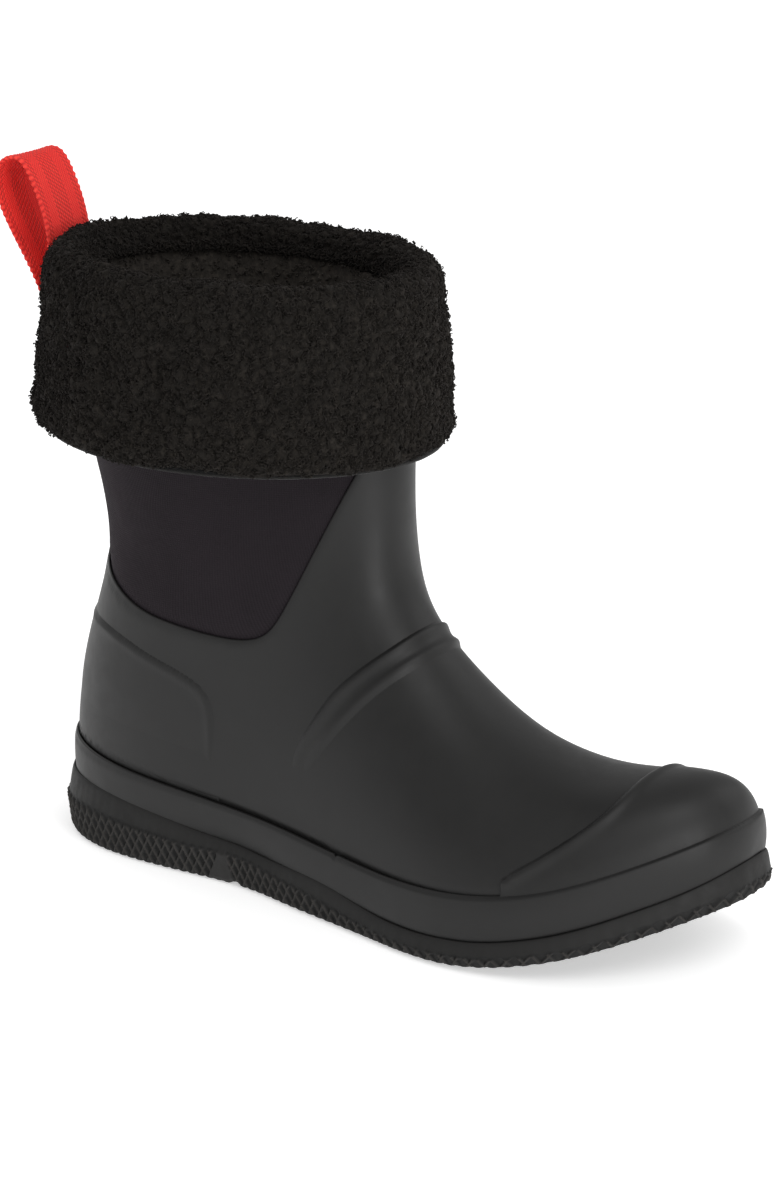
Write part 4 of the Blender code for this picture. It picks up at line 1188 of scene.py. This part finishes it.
def make_outsole(paints):
    """Outsole: sloping ledge, knurled side band that leans in, grooved tread and the pocket in its top."""
    loop = closed_loop(outline_rows(0.0, 2.0, SOLE_COUNT))
    normal = loop_normals(loop)
    around = len(loop)
    step = np.linalg.norm(np.roll(loop, -1, axis=0) - loop, axis=1)
    pitch = np.interp(loop[:, 1], (90.0, 130.0, 200.0, 260.0), (4.1, 4.8, 5.2, 6.4))
    turns = np.concatenate([[0.0], np.cumsum(step / pitch)[:-1]])
    turns *= round((step / pitch).sum()) / (step / pitch).sum()

    def ring(offset, up):
        plan = loop + normal * (np.zeros(around) + offset)[:, None]
        return np.column_stack([plan, up(plan[:, 1])])
    lug = np.abs(np.sin(math.pi * turns)) ** 0.7
    rings = []
    for offset, rise, swing in ((0.9, 0.0, 0.35), (1.7, 0.1, 0.6), (2.3, 0.45, 0.8)):
        made_ring = ring(offset + swing * (lug - 0.5), lambda f, rise=rise: tread_up(f) + rise)
        made_ring[:, 2] += 0.5 * (1 - lug)
        rings.append(made_ring)
    # Values for the painted shade in the knurl's grooves and the dusty painted highlight on its ribs, one
    # list a ring, kept in a UV map.
    wear = [np.full(around, PLAIN_DUST_AND_SHADE)] * len(rings)
    low = tread_up(loop[:, 1]) + 0.9
    high = knurl_up(loop[:, 1]) + 0.3 * np.cos(TAU * turns)
    for k in range(BAND_ROWS + 1):
        share = k / BAND_ROWS
        height = low + (high - low) * share
        left = PAD_FOOT[0] + (PAD_HEAD[0] - PAD_FOOT[0]) * share
        right = PAD_FOOT[1] + (PAD_HEAD[1] - PAD_FOOT[1]) * share
        pad = smooth_step((loop[:, 1] - left) / 0.9) * smooth_step((right - loop[:, 1]) / 0.9)
        fade = smooth_step((high - height) / 0.9) * (0.45 + 0.55 * smooth_step(share / 0.12))
        relief = knurl(turns, pitch, height) * (1 - pad) + 1.0 * pad
        offset = BAND_OFFSETS[0] + (BAND_OFFSETS[1] - BAND_OFFSETS[0]) * share + relief * fade
        rings.append(np.column_stack([loop + normal * offset[:, None], height]))
        wear.append(relief * fade / KNURL_HIGH[0] * (1 - pad) + PAD_DUST_AND_SHADE * pad)
    for k in range(1, LEDGE_ROWS + 1):
        share = k / LEDGE_ROWS
        offset = BAND_OFFSETS[1] - LEDGE_IN * (0.55 * share + 0.45 * share**2)
        edge = ring(offset, lambda f: crease_up(f) + 0.9)
        edge[:, 2] = high + 0.1 + (edge[:, 2] - 0.1 - high) * smooth_step(share) ** 0.8
        rings.append(edge)
    rings.append(ring(2.08, lambda f: crease_up(f) + 0.75))
    rings.append(ring(2.06, lambda f: crease_up(f) - 0.3))
    rings.append(ring(0.9, lambda f: crease_up(f) - 0.35))
    rings.append(ring(0.8, feather_up))
    rings.append(ring(-0.6, feather_up))
    rings.append(ring(-6.8, feather_up))
    _, heel_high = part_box("heel_core")
    waist_low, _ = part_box("waist_filler")
    pocket_from = HEEL_CENTRE_FORWARD - heel_high[1] / MM - 2 * GAP
    pocket_to = HEEL_CENTRE_FORWARD - waist_low[1] / MM + 2 * GAP

    def pocket(points):
        forward = points[..., 1]
        behind = smooth_step((forward - pocket_from) / 0.8 + 0.5)
        return behind * smooth_step((pocket_to - forward) / 0.8 + 0.5)
    floor = ring(-7.0, feather_up)
    floor[:, 2] -= POCKET_DEEP * pocket(floor)
    rings.append(floor)
    quads = [tube_faces(len(rings), around)]
    points = [np.vstack(rings)]
    tris = []
    for level, between in ((0, 24), (len(rings) - 1, 8)):
        inner, cap_quads, cap_tris = cap_grid(rings[level], between)
        if level == 0:
            inner[:, 2] = tread_up(inner[:, 1]) + tread_relief(inner)
        else:
            inner[:, 2] = feather_up(inner[:, 1]) - POCKET_DEEP * pocket(inner)
        base = sum(len(p) for p in points)
        quads.append(np.where(cap_quads < around, cap_quads + level * around, cap_quads - around + base))
        tris.append(np.where(cap_tris < around, cap_tris + level * around, cap_tris - around + base))
        points.append(inner)
    made = add_mesh("outsole_moulding", np.vstack(points), np.vstack(quads), np.vstack(tris),
                    paints["sole_rubber"])
    dust_and_shade_values = np.full(len(made.data.vertices), PLAIN_DUST_AND_SHADE)
    dust_and_shade_values[:around * len(wear)] = np.concatenate(wear)
    corner = np.empty(len(made.data.loops), int)
    made.data.loops.foreach_get("vertex_index", corner)
    uv = made.data.uv_layers.new(name="wear")
    uv.data.foreach_set("uv", np.stack([dust_and_shade_values[corner]] * 2, axis=1).astype(np.float32).ravel())
    fix_winding(made)
    finish_piece(made, "boot", "sole_rubber", "outsole")


def fix_winding(made):
    """Make every face of a closed mesh face outward."""
    work = bmesh.new()
    work.from_mesh(made.data)
    bmesh.ops.recalc_face_normals(work, faces=work.faces)
    work.to_mesh(made.data)
    work.free()
    made.data.shade_smooth()


def make_footbed(paints):
    """Removable insole: a moulded foam bed with rounded edges, and its cover."""
    rows = outline_rows(LINING[1], FOOTBED_LEVELS[0], 240)
    loop = closed_loop(rows)
    normal = loop_normals(loop)
    for name, levels, slot, node in (
            ("footbed_foam_bed", FOOTBED_LEVELS, "footbed_foam", "footbed_foam"),
            ("footbed_cover_sheet", COVER_LEVELS, "footbed_cover", "footbed_cover")):
        low, high = levels
        rings = []
        thick = high - low
        for share, tuck in ((0.0, 0.5), (0.12, 0.12), (0.35, 0.0), (0.65, 0.0), (0.88, 0.12), (1.0, 0.5)):
            plan = loop + normal * (FOOTBED_INSET - 0.15 - tuck * min(thick, 2.0) * 0.6)
            rings.append(np.column_stack([plan, feather_up(plan[:, 1]) + low + thick * share]))
        points = [np.vstack(rings)]
        quads = [tube_faces(len(rings), len(loop))]
        tris = []
        for level in (0, len(rings) - 1):
            inner, cap_quads, cap_tris = cap_grid(rings[level], 24)
            inner[:, 2] = feather_up(inner[:, 1]) + (low if level == 0 else high)
            if level:
                inner[:, 2] -= 0.12 * (1 + noise(inner, 5.0, 3))
            base = sum(len(p) for p in points)
            faces = [np.where(f < len(loop), f + level * len(loop), f - len(loop) + base)
                     for f in (cap_quads, cap_tris)]
            quads.append(faces[0])
            tris.append(faces[1])
            points.append(inner)
        made = add_mesh(name, np.vstack(points), np.vstack(quads), np.vstack(tris), paints[slot])
        fix_winding(made)
        finish_piece(made, "footbed", slot, node)


# ---------------------------------------------------------------- the cuff


def ring_profile(rings, count, rounding=2, dense=None):
    """Closed cross-section of a ring, its corners rounded, with more places where dense is high."""
    line = np.array(rings, float)
    for _ in range(rounding):
        after = np.roll(line, -1, axis=0)
        line = np.stack([line * 0.75 + after * 0.25, line * 0.25 + after * 0.75], axis=1).reshape(-1, 4)
    loop = np.vstack([line, line[:1]])
    lengths = np.linalg.norm(np.diff(loop[:, [1, 3]], axis=0), axis=1)
    if dense is not None:
        lengths = lengths * dense((loop[1:] + loop[:-1]) / 2)
    along = np.concatenate([[0.0], np.cumsum(lengths)])
    even = np.arange(count) * along[-1] / count
    return np.stack([np.interp(even, along, loop[:, k]) for k in range(4)], axis=1)


def ring_points(profile, around):
    """Grid of points of a ring whose cross-section rows are ellipses."""
    a = np.arange(around) * TAU / around
    centre, half_long, half_wide, up = (profile[:, k][:, None] for k in range(4))
    return np.stack([half_wide * np.cos(a), centre + half_long * np.sin(a), up + 0 * a], axis=-1)


def grid_normals(points):
    """Normals of a grid that closes both ways."""
    down = np.roll(points, -1, axis=0) - np.roll(points, 1, axis=0)
    across = np.roll(points, -1, axis=1) - np.roll(points, 1, axis=1)
    normal = unit(np.cross(across, down))
    section = points.mean(axis=0, keepdims=True)
    if ((points - section) * normal).sum() < 0:
        normal = -normal
    return normal


def exposed(points, normal):
    """How far a place of the cuff faces out and not into the fold."""
    centre = np.array((0.0, 77.0, 0.0))
    away = points - centre
    away[..., 2] = 0
    facing = (unit(away) * normal).sum(axis=-1)
    return np.where(points[..., 2] > 226.5, 1.0, smooth_step(facing / 0.4))


def outer_half(places):
    """Weight that puts three times as many rows on the cuff's outside and rim as in its fold."""
    hidden = (places[:, 1] < 77.2) & (places[:, 3] < 226.5)
    return np.where(hidden, 1.0, 3.0)


def swollen(points, held):
    """Coarse ring of cloth that swells under pressure between its held points: how far each point moves."""
    made = add_mesh("swelling_cloth", points.reshape(-1, 3), tube_faces(*points.shape[:2], True))
    group = made.vertex_groups.new(name="held")
    group.add([int(k) for k in np.flatnonzero(held.ravel())], 1.0, "REPLACE")
    cloth = made.modifiers.new("cloth", "CLOTH")
    cloth.settings.quality = 5
    cloth.settings.mass = 0.15
    cloth.settings.tension_stiffness = 5.0
    cloth.settings.compression_stiffness = 5.0
    cloth.settings.shear_stiffness = 2.0
    cloth.settings.bending_stiffness = 0.05
    cloth.settings.use_pressure = True
    cloth.settings.uniform_pressure_force = SWELL_PRESSURE
    cloth.settings.vertex_group_mass = "held"
    cloth.settings.effector_weights.gravity = 0.0
    cloth.point_cache.frame_end = SWELL_FRAMES
    scene = bpy.context.scene
    for number in range(1, SWELL_FRAMES + 1):
        scene.frame_set(number)
    settled = made.evaluated_get(bpy.context.evaluated_depsgraph_get())
    place = np.empty(len(settled.data.vertices) * 3)
    settled.data.vertices.foreach_get("co", place)
    bpy.data.objects.remove(made, do_unlink=True)
    scene.frame_set(1)
    moved = place.reshape(points.shape) / MM
    moved = np.stack([moved[..., 0], HEEL_CENTRE_FORWARD - moved[..., 1], moved[..., 2]], axis=-1) - points
    size = np.linalg.norm(moved, axis=-1, keepdims=True)
    return moved * np.minimum(1.0, SWELL_CAP / np.maximum(size, 1e-9))


def finer(grid, factors):
    """Periodic grid of values with in-between rows and columns."""
    for axis, factor in enumerate(factors):
        after = np.roll(grid, -1, axis=axis)
        shares = [smooth_step(k / factor) for k in range(factor)]
        steps = [grid * (1 - share) + after * share for share in shares]
        shape = list(grid.shape)
        shape[axis] *= factor
        grid = np.stack(steps, axis=axis + 1).reshape(shape)
    return grid


def nearest_two(places, roots, count, rng):
    """Distances from every place to the two nearest of some roots picked at random."""
    tree = KDTree(count)
    picked = roots.reshape(-1, 3)[rng.integers(0, roots[..., 0].size, count)]
    for k, root in enumerate(picked):
        tree.insert(root, k)
    tree.balance()
    found = [[hit[2] for hit in tree.find_n(place, 2)] for place in places.reshape(-1, 3)]
    return np.array(found).reshape(*places.shape[:-1], 2)


LOCKS = 2600
LUMPS = 15000
FLEECE_ROWS = 144
FLEECE_AROUND = 648
FLEECE_COARSE = (3, 6)
SWELL_FRAMES = 20
SWELL_CAP = 1.8
SWELL_PRESSURE = 900.0
TACKED_SHARE = 0.04


def make_fleece(paints, rng):
    """Turned-down fleece: a swollen, uneven band whose pile stands in small lumps."""
    profile = ring_profile(FLEECE_RINGS, FLEECE_ROWS, dense=outer_half)
    points = ring_points(profile, FLEECE_AROUND)
    normal = grid_normals(points)
    show = exposed(points, normal)
    coarse = points[::FLEECE_COARSE[0], ::FLEECE_COARSE[1]]
    free = show[::FLEECE_COARSE[0], ::FLEECE_COARSE[1]] > 0.5
    held = ~free | (rng.random(coarse.shape[:2]) < TACKED_SHARE)
    points = points + finer(swollen(coarse, held), FLEECE_COARSE) * show[..., None]
    swell = 0.9 * noise(points, 17.0, 21) + 0.7 * noise(points, 8.0, 22) - 0.4
    bent = points + 1.3 * np.stack([noise(points, 3.5, k) for k in (41, 42, 43)], axis=-1)
    locks = nearest_two(bent, points, LOCKS, rng)
    lumps = nearest_two(points, points, LUMPS, rng)
    crack = 1 - smooth_step((locks[..., 1] - locks[..., 0]) / 1.15)
    pile = 0.75 * (1 - np.minimum(lumps[..., 0] / 1.5, 1.0) ** 2) - 1.3 * crack + 0.3 * noise(points, 1.7, 25)
    low = smooth_step((186 - points[..., 2]) / 14.0)
    angle = np.arctan2(points[..., 1] - 77, points[..., 0])
    wave = np.sin(angle * 9 + 1.1) * 0.9 + np.sin(angle * 5 + 0.3) * 0.8 + np.sin(angle * 17) * 0.35
    points = points + normal * ((swell + pile) * show)[..., None]
    points[..., 2] += low * wave * 0.8
    away = points - np.array((0, 77.0, 0))
    away[..., 2] = 0
    points += unit(away) * (low * wave * 0.6 * show)[..., None]
    made = add_mesh("fleece_cuff_band", points.reshape(-1, 3), tube_faces(FLEECE_ROWS, FLEECE_AROUND, True),
                    paint=paints["fleece_black"])
    finish_piece(made, "cuff", "fleece_black", "fleece_cuff")
    return made


CURL_RINGS = 6
CURL_SIDES = 4
CUFF_CURLS = 26000
LINING_CURLS = 4500
SECTORS = 8
RIM_CURLS = 2600
RIM_MIDDLE = 75.3
RIM_HALF = np.array((46.3, 62.2))
RIM_HEIGHTS = (224.2, 227.4)


def curls(name, roots, normals, rng, paint, size=0.72, thick=0.27, lift=0.05):
    """Small curled tufts of pile, each a closed tapering tube bent round most of a turn."""
    count = len(roots)
    normals = unit(normals)
    first = rng.normal(size=(count, 3))
    first = unit(first - (first * normals).sum(axis=1, keepdims=True) * normals)
    tilt = rng.uniform(-0.2, 1.35, size=(count, 1))
    second = np.cos(tilt) * normals + np.sin(tilt) * np.cross(normals, first)
    third = np.cross(first, second)
    radius = size * rng.uniform(0.55, 1.25, size=(count, 1))
    sweep = rng.uniform(3.4, 6.6, size=(count, 1))
    start = rng.uniform(0, TAU, size=(count, 1))
    pitch = rng.uniform(0.2, 0.9, size=(count, 1)) * radius
    width = thick * rng.uniform(0.75, 1.3, size=(count, 1))
    share = np.linspace(0, 1, CURL_RINGS)[None, :]
    turn = start + sweep * share
    centre = roots + normals * (radius * rng.uniform(0.1, 0.9, size=(count, 1)) + lift)
    out = np.cos(turn)[..., None] * first[:, None] + np.sin(turn)[..., None] * second[:, None]
    line = (centre[:, None] + out * (radius * (1 - 0.25 * share))[..., None]
            + third[:, None] * (pitch * (share - 0.5))[..., None])
    taper = (width * np.sqrt(np.sin(np.pi * (0.10 + 0.80 * share))))[..., None, None]
    around = np.arange(CURL_SIDES) * TAU / CURL_SIDES
    ring = (np.cos(around)[None, None, :, None] * out[:, :, None]
            + np.sin(around)[None, None, :, None] * third[:, None, None])
    points = line[:, :, None] + ring * taper
    per = CURL_RINGS * CURL_SIDES
    quads = tube_faces(CURL_RINGS, CURL_SIDES)
    fans = [(0, k + 1, k) for k in range(1, CURL_SIDES - 1)]
    last = per - CURL_SIDES
    fans += [(last, last + k, last + k + 1) for k in range(1, CURL_SIDES - 1)]
    offsets = (np.arange(count) * per)[:, None, None]
    all_quads = (quads[None] + offsets).reshape(-1, 4)
    all_tris = (np.array(fans)[None] + offsets).reshape(-1, 3)
    return add_mesh(name, points.reshape(-1, 3), all_quads, all_tris, paint)


def scatter(made, count, rng, keep):
    """Random places on a mesh, with normals, in millimetres, where keep says so."""
    mesh = made.data
    mesh.calc_loop_triangles()
    corners = np.empty(len(mesh.loop_triangles) * 3, int)
    mesh.loop_triangles.foreach_get("vertices", corners)
    corners = corners.reshape(-1, 3)
    place = np.empty(len(mesh.vertices) * 3)
    mesh.vertices.foreach_get("co", place)
    place = place.reshape(-1, 3) / MM
    place = np.stack([place[:, 0], HEEL_CENTRE_FORWARD - place[:, 1], place[:, 2]], axis=1)
    a, b, c = (place[corners[:, k]] for k in range(3))
    cross = np.cross(b - a, c - a)
    normal = -unit(cross)
    area = np.linalg.norm(cross, axis=1) / 2
    middle = (a + b + c) / 3
    area = area * keep(middle, normal)
    picked = rng.choice(len(area), size=count, p=area / area.sum())
    u, v = rng.random((2, count, 1))
    over = (u + v) > 1
    u, v = np.where(over, 1 - u, u), np.where(over, 1 - v, v)
    return a[picked] + (b - a)[picked] * u + (c - a)[picked] * v, normal[picked]


def make_pile(paints, band, lining, rng):
    """Curls on the cuff, by sector, and on the lining that shows inside the mouth."""
    patch_low, patch_high = (np.array(corner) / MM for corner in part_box("loop_anchor"))

    def on_cuff(middle, normal):
        shown = exposed(middle.copy(), normal) > 0.25
        behind = middle[:, 1] < 20
        over_patch = (middle[:, 2] > patch_low[2] - 1) & (middle[:, 2] < patch_high[2] + 14)
        under_patch = behind & (np.abs(middle[:, 0]) < patch_high[0] - 1) & over_patch
        return (shown & ~under_patch).astype(float)
    roots, normals = scatter(band, CUFF_CURLS, rng, on_cuff)
    sector = np.floor((np.arctan2(roots[:, 1] - 77, roots[:, 0]) / TAU % 1.0) * SECTORS).astype(int)
    for k in range(SECTORS):
        mine = sector == k
        made = curls("fleece_curls_%d" % (k + 1), roots[mine], normals[mine], rng, paints["fleece_black"])
        finish_piece(made, "cuff", "fleece_black")

    turn = rng.uniform(0, TAU, RIM_CURLS)
    along = np.column_stack([np.sin(turn), -np.cos(turn)])
    plan = np.array((0.0, RIM_MIDDLE)) + along * RIM_HALF
    roots = np.column_stack([plan, rng.uniform(*RIM_HEIGHTS, RIM_CURLS)])
    inward = np.column_stack([-along / RIM_HALF * RIM_HALF[0], rng.uniform(-0.9, 0.2, RIM_CURLS)])
    made = curls("fleece_rim_curls", roots, inward, rng, paints["fleece_black"], size=1.1, thick=0.30)
    finish_piece(made, "cuff", "fleece_black")

    def on_lining(middle, normal):
        centre = np.array((0.0, 77.0, 0.0))
        away = middle - centre
        away[:, 2] = 0
        return (((away * normal).sum(axis=1) < 0) & (middle[:, 2] > 168)).astype(float)
    roots, normals = scatter(lining, LINING_CURLS, rng, on_lining)
    made = curls("shaft_lining_curls", roots, normals, rng, paints["lining_cloth"], size=0.7, thick=0.27)
    finish_piece(made, "boot", "lining_cloth")


def make_cuff(paints, rng):
    """Cuff: fleece, its backing and the tape along its hem."""
    band = make_fleece(paints, rng)
    for name, rings, slot, node, ripple in (
            ("cuff_backing_cloth", BACKING_RINGS, "backing_cloth", "cuff_backing", 0.06),
            ("cuff_hem_tape", HEM_RINGS, "binding_tape", "cuff_hem_binding", 0.08)):
        profile = ring_profile(rings, 72, rounding=1)
        points = ring_points(profile, 360)
        normal = grid_normals(points)
        points = points + normal * (ripple * noise(points, 3.0, 31))[..., None]
        made = add_mesh(name, points.reshape(-1, 3), tube_faces(len(profile), 360, True), paint=paints[slot])
        finish_piece(made, "cuff", slot, node)
    return band


# ---------------------------------------------------------------- the pull loop


def web_relief(across, along):
    """Relief of the webbing: lengthwise ribs, with two bands of fine plain weave between them."""
    side = np.abs(across)
    rib = np.abs(np.sin(math.pi * across / 1.15 + 0.3 * np.sin(TAU * along / 1.9)))
    twill = 0.62 + 0.38 * np.sin(TAU * (along / 1.9 + across / 2.3))
    dots = 0.5 + 0.5 * np.sin(TAU * across / 1.25) * np.sin(TAU * along / 1.15)
    plain = smooth_step((2.4 - np.abs(side - 6.3)) / 0.5)
    selvedge = smooth_step((side - 11.0) / 0.6)
    scallop = 0.6 + 0.4 * np.cos(TAU * along / 2.4)
    woven = rib * twill * (1 - plain) + dots * plain
    return woven * (1 - selvedge) + scallop * selvedge


def make_loop(paints):
    """Pull loop: one band of ribbed webbing folded into an eye."""
    knots = np.array(LOOP_PROFILE, float)
    length = np.concatenate([[0.0], np.cumsum(np.linalg.norm(np.diff(knots, axis=0), axis=1))])
    curve = smooth_curve(length, knots)
    rows = 470
    line = curve(np.linspace(0, length[-1], rows))
    along = np.concatenate([[0.0], np.cumsum(np.linalg.norm(np.diff(line, axis=0), axis=1))])
    heading = unit(np.gradient(line, axis=0))
    out = np.stack([heading[:, 1], -heading[:, 0]], axis=-1)
    columns = 96
    edge = 4
    flat = np.linspace(-1, 1, columns)
    bend = np.linspace(0, math.pi, edge + 2)[1:-1]
    half = LOOP_WIDE / 2
    rim = LOOP_THICK / 2
    cross = [((half - rim) * s, 1.0, 0.0) for s in flat]
    cross += [((half - rim), math.cos(a), math.sin(a)) for a in bend]
    cross += [((half - rim) * s, -1.0, 0.0) for s in flat[::-1]]
    cross += [(-(half - rim), -math.cos(a), -math.sin(a)) for a in bend]
    cross = np.array(cross)
    base_side = cross[None, :, 0] + cross[None, :, 2] * rim
    relief = web_relief(np.clip(base_side, -half, half), along[:, None])
    wavy = 0.22 * np.sin(TAU * along / 2.6)[:, None] * np.sign(cross[None, :, 0]) \
        * smooth_step((np.abs(base_side) - 10.5) / 1.5)
    cup = 0.35 * (base_side / half) ** 2 * np.sin(np.pi * along / along[-1])[:, None]
    height = cross[None, :, 1] * (rim - 0.45 + 0.45 * relief) + cup
    plan = line[:, None] + out[:, None] * height[..., None]
    points = np.concatenate([(base_side + wavy)[..., None], plan], axis=-1)
    count = len(cross)
    quads = tube_faces(rows, count)
    ends = []
    for level in (0, rows - 1):
        start = level * count
        lower = [start + k for k in range(columns)]
        upper = [start + 2 * columns + edge - 1 - k for k in range(columns)]
        strip = [(lower[k], lower[k + 1], upper[k + 1], upper[k]) for k in range(columns - 1)]
        right = [start + columns - 1 + k for k in range(edge + 2)]
        left = [start + 2 * columns + edge - 1 + k for k in range(edge + 1)] + [start]
        ends += strip
        for rim_line in (right, left):
            ends.append((rim_line[0], rim_line[1], rim_line[4], rim_line[5]))
            ends.append((rim_line[1], rim_line[2], rim_line[3], rim_line[4]))
    made = add_mesh("pull_loop_webbing", points.reshape(-1, 3), np.vstack([quads, np.array(ends)]),
                    paint=paints["red_webbing"])
    corner = np.empty(len(made.data.loops), int)
    made.data.loops.foreach_get("vertex_index", corner)
    # The relief rides in the UV map to paint shade between the threads and highlight on the ribs.
    shade = np.stack([np.repeat(along, count) / along[-1], relief.ravel()], axis=1)
    uv = made.data.uv_layers.new(name="weave")
    uv.data.foreach_set("uv", shade[corner].astype(np.float32).ravel())
    fix_winding(made)
    finish_piece(made, "loop", "red_webbing", "pull_loop")
    make_stitches(paints)
    make_anchor(paints)
    return length[-1]


def thread_tube(line, radius, sides=7):
    """Points, quads and end fans of a thread along a line."""
    line = np.asarray(line, float)
    heading = unit(np.gradient(line, axis=0))
    side = unit(np.cross(heading, np.array((0.0, 1.0, 0.3))))
    other = np.cross(heading, side)
    a = np.arange(sides) * TAU / sides
    points = line[:, None] + radius * (np.cos(a)[None, :, None] * side[:, None]
                                       + np.sin(a)[None, :, None] * other[:, None])
    quads = tube_faces(len(line), sides)
    last = (len(line) - 1) * sides
    fans = [(0, k + 1, k) for k in range(1, sides - 1)]
    fans += [(last, last + k, last + k + 1) for k in range(1, sides - 1)]
    return points.reshape(-1, 3), quads, np.array(fans)


def make_stitches(paints):
    """Two bar tacks through the loop's legs: a zigzag of thread between two rows of holes."""
    for node in ("loop_stitch_lower", "loop_stitch_upper"):
        low, high = (np.array(corner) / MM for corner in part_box(node))
        behind = HEEL_CENTRE_FORWARD - high[1]
        front = HEEL_CENTRE_FORWARD - low[1]
        turns = 17
        steps = turns * 10
        s = np.linspace(0, 1, steps)
        zig = np.abs((s * turns) % 2 - 1)
        line = np.stack([low[0] + (high[0] - low[0]) * s,
                         np.full(steps, (behind + front) / 2) - 0.1 * np.sin(np.pi * zig),
                         low[2] + (high[2] - low[2]) * (0.15 + 0.7 * zig)], axis=1)
        points, quads, fans = thread_tube(line, 0.26)
        made = add_mesh(node + "_thread", points, quads, fans, paints["red_thread"])
        fix_winding(made)
        finish_piece(made, "loop", "red_thread", node)


def make_anchor(paints):
    """Backing patch under the loop: a small woven rectangle with rounded corners and a turned edge."""
    low, high = (np.array(corner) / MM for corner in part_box("loop_anchor"))
    middle = (low + high) / 2
    half = (high - low) / 2 - 0.05
    rows, columns = 48, 100
    u = np.linspace(-1, 1, columns)
    v = np.linspace(-1, 1, rows)
    grid_u, grid_v = np.meshgrid(u, v)
    corner = 1.8
    side = grid_u * half[0]
    up = grid_v * half[2]
    over = np.minimum(np.maximum(np.abs(side) - (half[0] - corner), 0), corner)
    pull = corner - np.sqrt(np.maximum(corner**2 - over**2, 0))
    up = up * (half[2] - pull) / half[2]
    edge = np.minimum(half[0] - np.abs(side), half[2] - pull - np.abs(up))
    weave = 0.06 * (1 + np.cos(TAU * (side + up) / 0.9)) / 2
    thick = half[1] * (0.45 + 0.55 * smooth_step(edge / 0.8)) - weave
    forward = HEEL_CENTRE_FORWARD - middle[1]
    skins = []
    for hand in (-1.0, 1.0):
        skin = np.stack([side + middle[0], forward + hand * thick, up + middle[2]], axis=-1)
        skins.append(skin.reshape(-1, 3))
    index = np.arange(rows * columns).reshape(rows, columns)
    face = np.stack([index[:-1, :-1], index[:-1, 1:], index[1:, 1:], index[1:, :-1]], axis=-1).reshape(-1, 4)
    total = rows * columns
    rim = np.concatenate([index[0, :-1], index[:-1, -1], index[-1, :0:-1], index[:0:-1, 0]])
    after = np.roll(rim, -1)
    wall = np.stack([rim, rim + total, after + total, after], axis=1)
    made = add_mesh("loop_anchor_patch", np.vstack(skins), np.vstack([face, face[:, ::-1] + total, wall]),
                    paint=paints["backing_cloth"])
    fix_winding(made)
    finish_piece(made, "cuff", "backing_cloth", "loop_anchor")


# ---------------------------------------------------------------- studio


def area_light(name, place, target, size, power):
    """Soft rectangular light aimed at a point."""
    data = bpy.data.lights.new(name, "AREA")
    data.shape = "RECTANGLE"
    data.size, data.size_y = size
    data.energy = power
    made = bpy.data.objects.new(name, data)
    made.location = place
    made.rotation_euler = (Vector(target) - Vector(place)).to_track_quat("-Z", "Y").to_euler()
    bpy.context.scene.collection.objects.link(made)


def make_studio():
    """Pale floor, white surroundings and soft lights."""
    half = 4000.0
    floor = add_mesh("floor", [(-half, -half, 0), (half, -half, 0), (half, half, 0), (-half, half, 0)],
                     [(3, 2, 1, 0)], paint=floor_paint())
    world_light = bpy.data.worlds.new("studio")
    world_light.use_nodes = True
    background = world_light.node_tree.nodes["Background"]
    background.inputs["Color"].default_value = (1.0, 1.0, 1.0, 1.0)
    background.inputs["Strength"].default_value = WORLD_STRENGTH
    bpy.context.scene.world = world_light
    area_light("key", (-0.6, -1.15, 1.5), (0, -0.1, 0.1), (0.9, 0.9), 8.0)
    area_light("fill", (1.2, -1.0, 1.0), (0, -0.1, 0.1), (1.0, 1.0), 3.5)
    area_light("low", (-0.7, -1.7, 0.35), (0, -0.16, 0.03), (0.5, 0.5), 8.0)
    area_light("back", (0.5, 2.2, 2.2), (0.2, 0.6, 0.0), (2.4, 1.6), 16)
    bpy.context.scene.view_settings.view_transform = "Standard"


def dress_inner_nodes(paints):
    """Materials of the model's own hidden pieces."""
    for node, slot in (("heel_core", "filler_foam"), ("waist_filler", "filler_foam"),
                       ("shank", "shank_steel"), ("insole_board", "board_fibre")):
        target = frame["nodes"][node]
        if not target.material_slots:
            target.data.materials.append(paints[slot])
        target.material_slots[0].material = paints[slot]


def build():
    """Everything in order."""
    rng = np.random.default_rng(SEED)
    make_camera()
    paints = make_paints()
    make_studio()
    make_outsole(paints)
    make_upper(paints)
    make_footbed(paints)
    band = make_cuff(paints, rng)
    make_pile(paints, band, bpy.data.objects["shaft_lining_tube"], rng)
    make_loop(paints)
    dress_inner_nodes(paints)


build()
